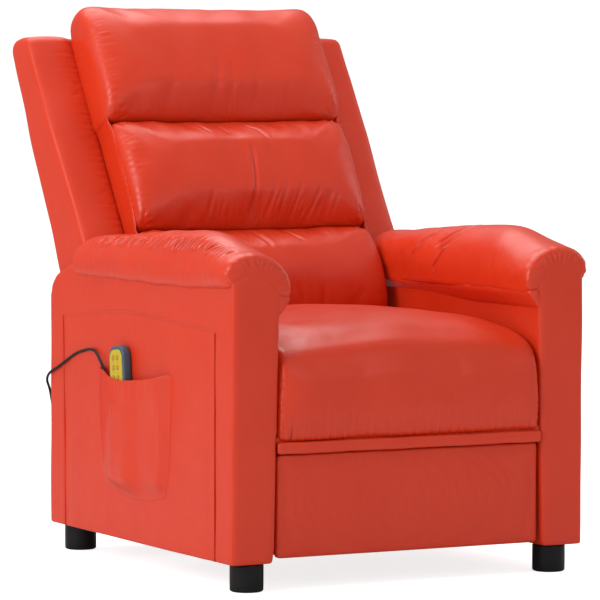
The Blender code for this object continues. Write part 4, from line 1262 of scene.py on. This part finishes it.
def make_back_cover():
    """The wings, their padded front faces and the rear skin between them."""
    wing = mm("889 974  592 512  747.5 512  965 946  957 965  935 972")
    slab = mm("660 378  681 378  965 946  957 965  935 972  889 974  883 960.5  940.6 927.3  735 535")
    parts = []
    for side, _ in SIDES:
        piece = side_prism("wing", wing, (side * 0.2470, side * 0.3425), LEATHER)
        parts.append(bevel(piece, 0.0130, 4, 40))
    parts.append(side_prism("slab", slab, (-0.2530, 0.2530), LEATHER))
    bpy.context.view_layer.update()
    cover = joined("back_cover", parts)
    remesh(cover, 0.0054)
    relax(cover, 4)
    subdivide(cover)
    points, facing = coordinates(cover), normals(cover)
    flat = in_back(points)
    turned = facing @ BACK_TURN
    side = np.abs(points[:, 0])
    wing_front = smooth_step(turned[:, 2], 0.3, 0.8) * smooth_step(side, 0.250, 0.256)
    outer = smooth_step(np.abs(facing[:, 0]), 0.5, 0.9) * (side > 0.33)
    rear = smooth_step(facing[:, 1], 0.5, 0.8)
    field = 0.0032 * wing_front * np.sin(np.clip((side - 0.25) / 0.0925, 0, 1) * math.pi)
    field += wing_front * 0.0007 * np.exp(-(side - WING_INNER) / 0.020) * ripple(flat[:, 1:2], 0.015, 201)
    field += 0.0008 * ripple(points, 0.14, 202) * np.maximum(wing_front, np.maximum(outer, rear))
    for sign in (-1, 1):
        chance = np.random.default_rng(210 + sign)
        for k in range(7):
            height = -0.055 + 0.43 * (k + chance.uniform(0.1, 0.9)) / 7
            start, end = sign * 0.254, sign * (0.254 + chance.uniform(0.016, 0.034))
            line = [(start, height), ((start + end) / 2, height + 0.002), (end, height - 0.004)]
            field += crease(flat[:, :2], line, 0.0042, 0.0011, 0.4) * wing_front * (sign * points[:, 0] > 0)
    low_left, top_left, top_right, low_right = [(-REAR_HALF, -0.10), (-REAR_HALF, REAR_TOP),
                                                (REAR_HALF, REAR_TOP), (REAR_HALF, -0.10)]
    rear_lines = [[low_left, top_left], [low_right, top_right], [top_left, top_right]]
    away = np.min([to_line(flat[:, :2], line)[0] for line in rear_lines], axis=0)
    padded = (1 - bell(away, 0.0, 0.035)) * (side < REAR_HALF) * (flat[:, 1] < REAR_TOP)
    field += rear * (0.0022 * padded - 0.0012 * bell(away, 0.0, 0.0028))
    points = points + facing * field[:, None]
    spread = smooth_step(flat[:, 1], 0.04, 0.28) * smooth_step(side, 0.28, 0.33)
    points[:, 0] += np.sign(points[:, 0]) * 0.0055 * spread
    points[:, 2] += 0.0030 * smooth_step(flat[:, 1], 0.36, 0.42) * smooth_step(side, 0.25, 0.27)
    set_coordinates(cover, points)
    seams(cover, flat[:, :2], rear_lines, rear)
    gathers(cover, flat[:, 1], side, wing_front * 0.5 * dying(side - WING_INNER, 0.016))
    stands_for(cover, "back", "leather", "back_shell")


# ---- footrest, apron and rear panel ----
class Panel:
    """An upright rectangle of leather across the chair."""

    def __init__(self, half, low, high):
        self.half, self.low, self.high = half, low, high

    def outline(self):
        """Its corners in x and height."""
        half, low, high = self.half, self.low, self.high
        return [(-half, low), (half, low), (half, high), (-half, high)]

    def block(self, name, depths, rounds):
        """An even-meshed block between two depths."""
        piece = front_prism(name, self.outline(), depths, LEATHER)
        remesh(piece, 0.0050)
        relax(piece, rounds)
        return piece

    def border(self, piece):
        """How far each vertex lies inside the rectangle's border."""
        x, _, z = coordinates(piece).T
        return np.minimum(self.half - np.abs(x), np.minimum(z - self.low, self.high - z))

    def seam(self):
        """The rectangle as a closed line."""
        return self.outline() + self.outline()[:1]


def make_footrest_pad():
    """The footrest's padded front."""
    shape = Panel(0.2695, 0.0565, 0.2410)
    pad = shape.block("footrest_pad_cover", (0.0015, 0.0200), 4)
    held = smooth_step(coordinates(pad)[:, 1], behind(0.008), behind(0.014))
    held = np.maximum(held, 0.6 * fall(shape.border(pad), 0.004, 0.014))
    hold_and_blow(pad, held, 1.2, 0.003, 10, 0.0040)
    subdivide(pad)
    points, facing = coordinates(pad), normals(pad)
    front = smooth_step(-facing[:, 1], 0.4, 0.8)
    border = shape.border(pad)
    waves = 0.0005 * np.exp(-border / 0.012) * ripple(points, 0.020, 302)
    seam = Panel(0.2660, 0.0600, 0.2355).seam()
    seams(pad, points[:, [0, 2]], [seam], 0.6 * smooth_step(facing[:, 1], 0.3, 0.7))
    gathers(pad, points[:, 0], points[:, 2], 0.25 * front * np.exp(-border / 0.010))
    push_out(pad, front * (0.0005 * ripple(points, 0.17, 301) + waves))
    stands_for(pad, "footrest", "leather", "footrest_pad")


def make_apron():
    """The rolled strip between seat and footrest, and the flap that closes the seam above it."""
    roll = mm("""3.5 242.2  3.5 252  3.5 262.6  -2 263  -6.2 262.8  -8.4 260.8  -9 257  -9.2 252  -9 247.6
        -8.2 244  -6 242.1  -2 241.9""")
    flap = mm("8.4 258.8  8.4 266  8 271.6  5.2 272.4  2.4 271.8  1.8 266  2 260  4.4 258.4")
    for name, section, middle, nodes in (("seat_apron_cover", roll, 0.2515, ["seat_apron"]),
                                         ("seat_apron_flap", flap, 0.2655, [])):
        outline = curve_points(section, 40, closed=True)
        rings = []
        for x in np.linspace(-0.2702, 0.2702, 220):
            end = 1 - 0.35 * max(0.0, (abs(x) - 0.2660) / 0.0042)
            sway = 0.0006 * math.sin(x * 41) + 0.0004 * math.sin(x * 97 + 1)
            rings.append([(x, behind(-0.002 + (depth + 0.002) * end + sway * (depth < 0)),
                           middle + (z - middle) * end + 0.4 * sway) for depth, z in outline])
        strip = loft(name, rings, LEATHER)
        points = coordinates(strip)
        gathers(strip, points[:, 0], points[:, 2], np.full(len(points), 0.12))
        stands_for(strip, "base", "leather", *nodes)


def make_rear_panel():
    """The lower rear panel between the arms, with a hemmed border."""
    shape = Panel(0.2670, 0.0555, 0.3545)
    panel = shape.block("rear_panel_cover", (0.7382, 0.7508), 3)
    subdivide(panel)
    points = coordinates(panel)
    rear = smooth_step(normals(panel)[:, 1], 0.4, 0.8)
    border = shape.border(panel)
    field = 0.0012 * (1 - bell(border, 0.0, 0.04)) + 0.0006 * ripple(points, 0.16, 311)
    field += 0.0004 * np.exp(-border / 0.015) * ripple(points, 0.022, 312)
    seams(panel, points[:, [0, 2]], [Panel(0.2560, 0.0660, 0.3440).seam()], rear)
    push_out(panel, rear * field)
    stands_for(panel, "base", "leather", "rear_panel")


# ---- side pocket ----
POCKET_LEFT = mm("527 360  525 298  521.5 238  516 185  503 149")
POCKET_RIGHT = mm("229 370  232 305  236 238  242 183  256 145")
POCKET_RIM = mm("527 367  508 364  484.4 360  441.7 351  395.3 348  320.4 354  270 361  229 370")


def share_table(points):
    """Columns of a smooth line through points, and the share of the run reached at each."""
    points = np.array(points)
    run = np.concatenate([[0], np.cumsum(np.linalg.norm(np.diff(points, axis=0), axis=1))])
    return (*points.T, run / run[-1])


def pocket_point(u, v):
    """Depth and height on the pocket: u runs from its rear to its front side, v from floor to rim."""
    sides = []
    for line in (POCKET_LEFT, POCKET_RIGHT):
        depth, height, share = share_table(curve_points(line[::-1], 40))
        sides.append(np.stack([np.interp(v, share, depth), np.interp(v, share, height)], axis=-1))
    _, rim_height, share = share_table(curve_points(POCKET_RIM, 60))
    straight = sides[0] * (1 - u)[..., None] + sides[1] * u[..., None]
    rise = np.interp(u, share, rim_height) - (POCKET_LEFT[0][1] * (1 - u) + POCKET_RIGHT[0][1] * u)
    sag = -0.0165 * np.sin(np.pi * np.clip(u, 0, 1)) ** 0.8 * (1 - v) ** 3
    straight[..., 1] += rise * v ** 2.0 + sag
    return straight


def layer_faces(across, tall):
    """Faces of two layers of a grid, back to back."""
    faces, count = [], across * tall
    for j in range(tall - 1):
        for i in range(across - 1):
            k = j * across + i
            faces.append((k, k + 1, k + across + 1, k + across))
            faces.append((count + k, count + k + across, count + k + across + 1, count + k + 1))
    return faces


# each pleat: its place across the pocket, width, depth, and the share of the height where it begins
PLEATS = [(0.045, 0.012, 1.2, 0.10), (0.085, 0.013, 1.5, 0.05), (0.125, 0.014, 1.6, 0.15),
          (0.165, 0.012, 1.3, 0.30), (0.205, 0.014, 1.5, 0.28), (0.250, 0.013, 1.2, 0.45),
          (0.295, 0.016, 1.2, 0.50), (0.345, 0.014, 0.9, 0.58), (0.395, 0.018, 0.8, 0.62),
          (0.460, 0.016, 0.7, 0.70), (0.530, 0.018, 0.6, 0.72), (0.610, 0.016, 0.5, 0.76),
          (0.700, 0.018, 0.5, 0.74), (0.800, 0.016, 0.6, 0.66), (0.880, 0.014, 0.7, 0.50)]
POCKET_WIDE, POCKET_TALL = 0.30, 0.22


def make_pocket():
    """The gathered patch pocket on the right side panel, one layer of leather with a turned hem."""
    across, tall = 190, 130
    u, v = np.meshgrid(np.linspace(0, 1, across), np.linspace(0, 1, tall))
    spot = pocket_point(u, v)
    edge = np.minimum(u * POCKET_WIDE, (1 - u) * POCKET_WIDE)
    rise = smooth_step(edge, -0.002, 0.030) * smooth_step(v * POCKET_TALL, 0.0, 0.034)
    over_handset = bell(u, 0.385, 0.19, 4)
    stand = 0.0018 + rise * ((0.0095 + 0.0060 * v) * (1 - over_handset) + 0.0226 * over_handset)
    bow = u + 0.030 * (1 - v) * (1 - u)
    pleats = np.zeros_like(u)
    chance = np.random.default_rng(17)
    for middle, width, deep, reach in PLEATS:
        drift = middle + 0.03 * chance.uniform(-1, 1) * (1 - v)
        fade = deep * smooth_step(v, reach, min(1.0, reach + 0.35))
        pleats -= 0.0028 * fade * bell(bow, drift, width)
        pleats += 0.0017 * fade * bell(bow, drift + 1.6 * width, width)
    stand += pleats * smooth_step(edge, 0.001, 0.010) * (1 - 0.45 * over_handset)
    on_wall = np.stack([u.ravel() * POCKET_WIDE, v.ravel() * POCKET_TALL], axis=1)
    stand += 0.0010 * rise * ripple(on_wall, 0.07, 18).reshape(u.shape)
    hem = smooth_step(v, 0.945, 0.955)
    stand += 0.0001 * hem * smooth_step(edge, -0.002, 0.030)
    x = -ARM_OUTER - np.clip(stand, 0.0016, 0.0262)
    outside = np.stack([x, FRONT + spot[..., 0], spot[..., 1]], axis=-1)
    inside = outside.copy()
    inside[..., 0] += 0.0013 + 0.0003 * hem
    faces, count = layer_faces(across, tall), across * tall
    border = list(range(across)) + [j * across + across - 1 for j in range(1, tall)]
    border += [(tall - 1) * across + i for i in range(across - 2, -1, -1)]
    border += [j * across for j in range(tall - 2, 0, -1)]
    for a, b in zip(border, border[1:] + border[:1]):
        faces.append((a, count + a, count + b, b))
    points = np.vstack([outside.reshape(-1, 3), inside.reshape(-1, 3)])
    pocket = mesh_piece("side_pocket_cloth", points, faces, LEATHER)
    fix_normals(pocket)
    on_wall = np.tile(on_wall, (2, 1))
    high_up = smooth_step(on_wall[:, 1] / POCKET_TALL, 0.55, 0.95)
    gathers(pocket, *on_wall.T, 0.35 * high_up * bell(on_wall[:, 0] / POCKET_WIDE, 0.28, 0.30))
    stands_for(pocket, "base", "leather", "side_pocket")


# ---- inner pieces ----
def make_heat_pad():
    """The quilted felt heating pad behind the lumbar cushion."""
    across, tall = 120, 60
    top, low = [], []
    for j in range(tall):
        for i in range(across):
            x, a = -0.150 + 0.300 * i / (across - 1), -0.190 + 0.140 * j / (tall - 1)
            quilt = abs(math.sin(x * math.pi / 0.030)) * abs(math.sin((a + 0.19) * math.pi / 0.035))
            top.append(from_back(x, a, -0.0100 + 0.0022 * quilt ** 0.5))
            low.append(from_back(x, a, -0.0112))
    pad = mesh_piece("heat_pad_felt", top + low, layer_faces(across, tall), FELT)
    stands_for(pad, "back", "heat_felt", "heat_pad")


def finish_cad_nodes():
    """Give every CAD node that still shows a procedural material."""
    slot_of = {entry["node"]: entry["material_slot"] for entry in frame["record"]["subparts"]}
    for name, node in frame["nodes"].items():
        if not node.hide_render:
            node.data.materials.clear()
            node.data.materials.append(SLOT_LOOKS[slot_of[name]])
            bevel(node, 0.0004, 2)


make_camera()
make_studio()
make_cord()
make_handset()
make_fittings()
make_back_cushions()
make_boxing()
make_seat()
make_arm_pads()
make_pad_facings()
make_arm_covers()
make_back_cover()
make_footrest_pad()
make_apron()
make_rear_panel()
make_pocket()
make_heat_pad()
finish_cad_nodes()
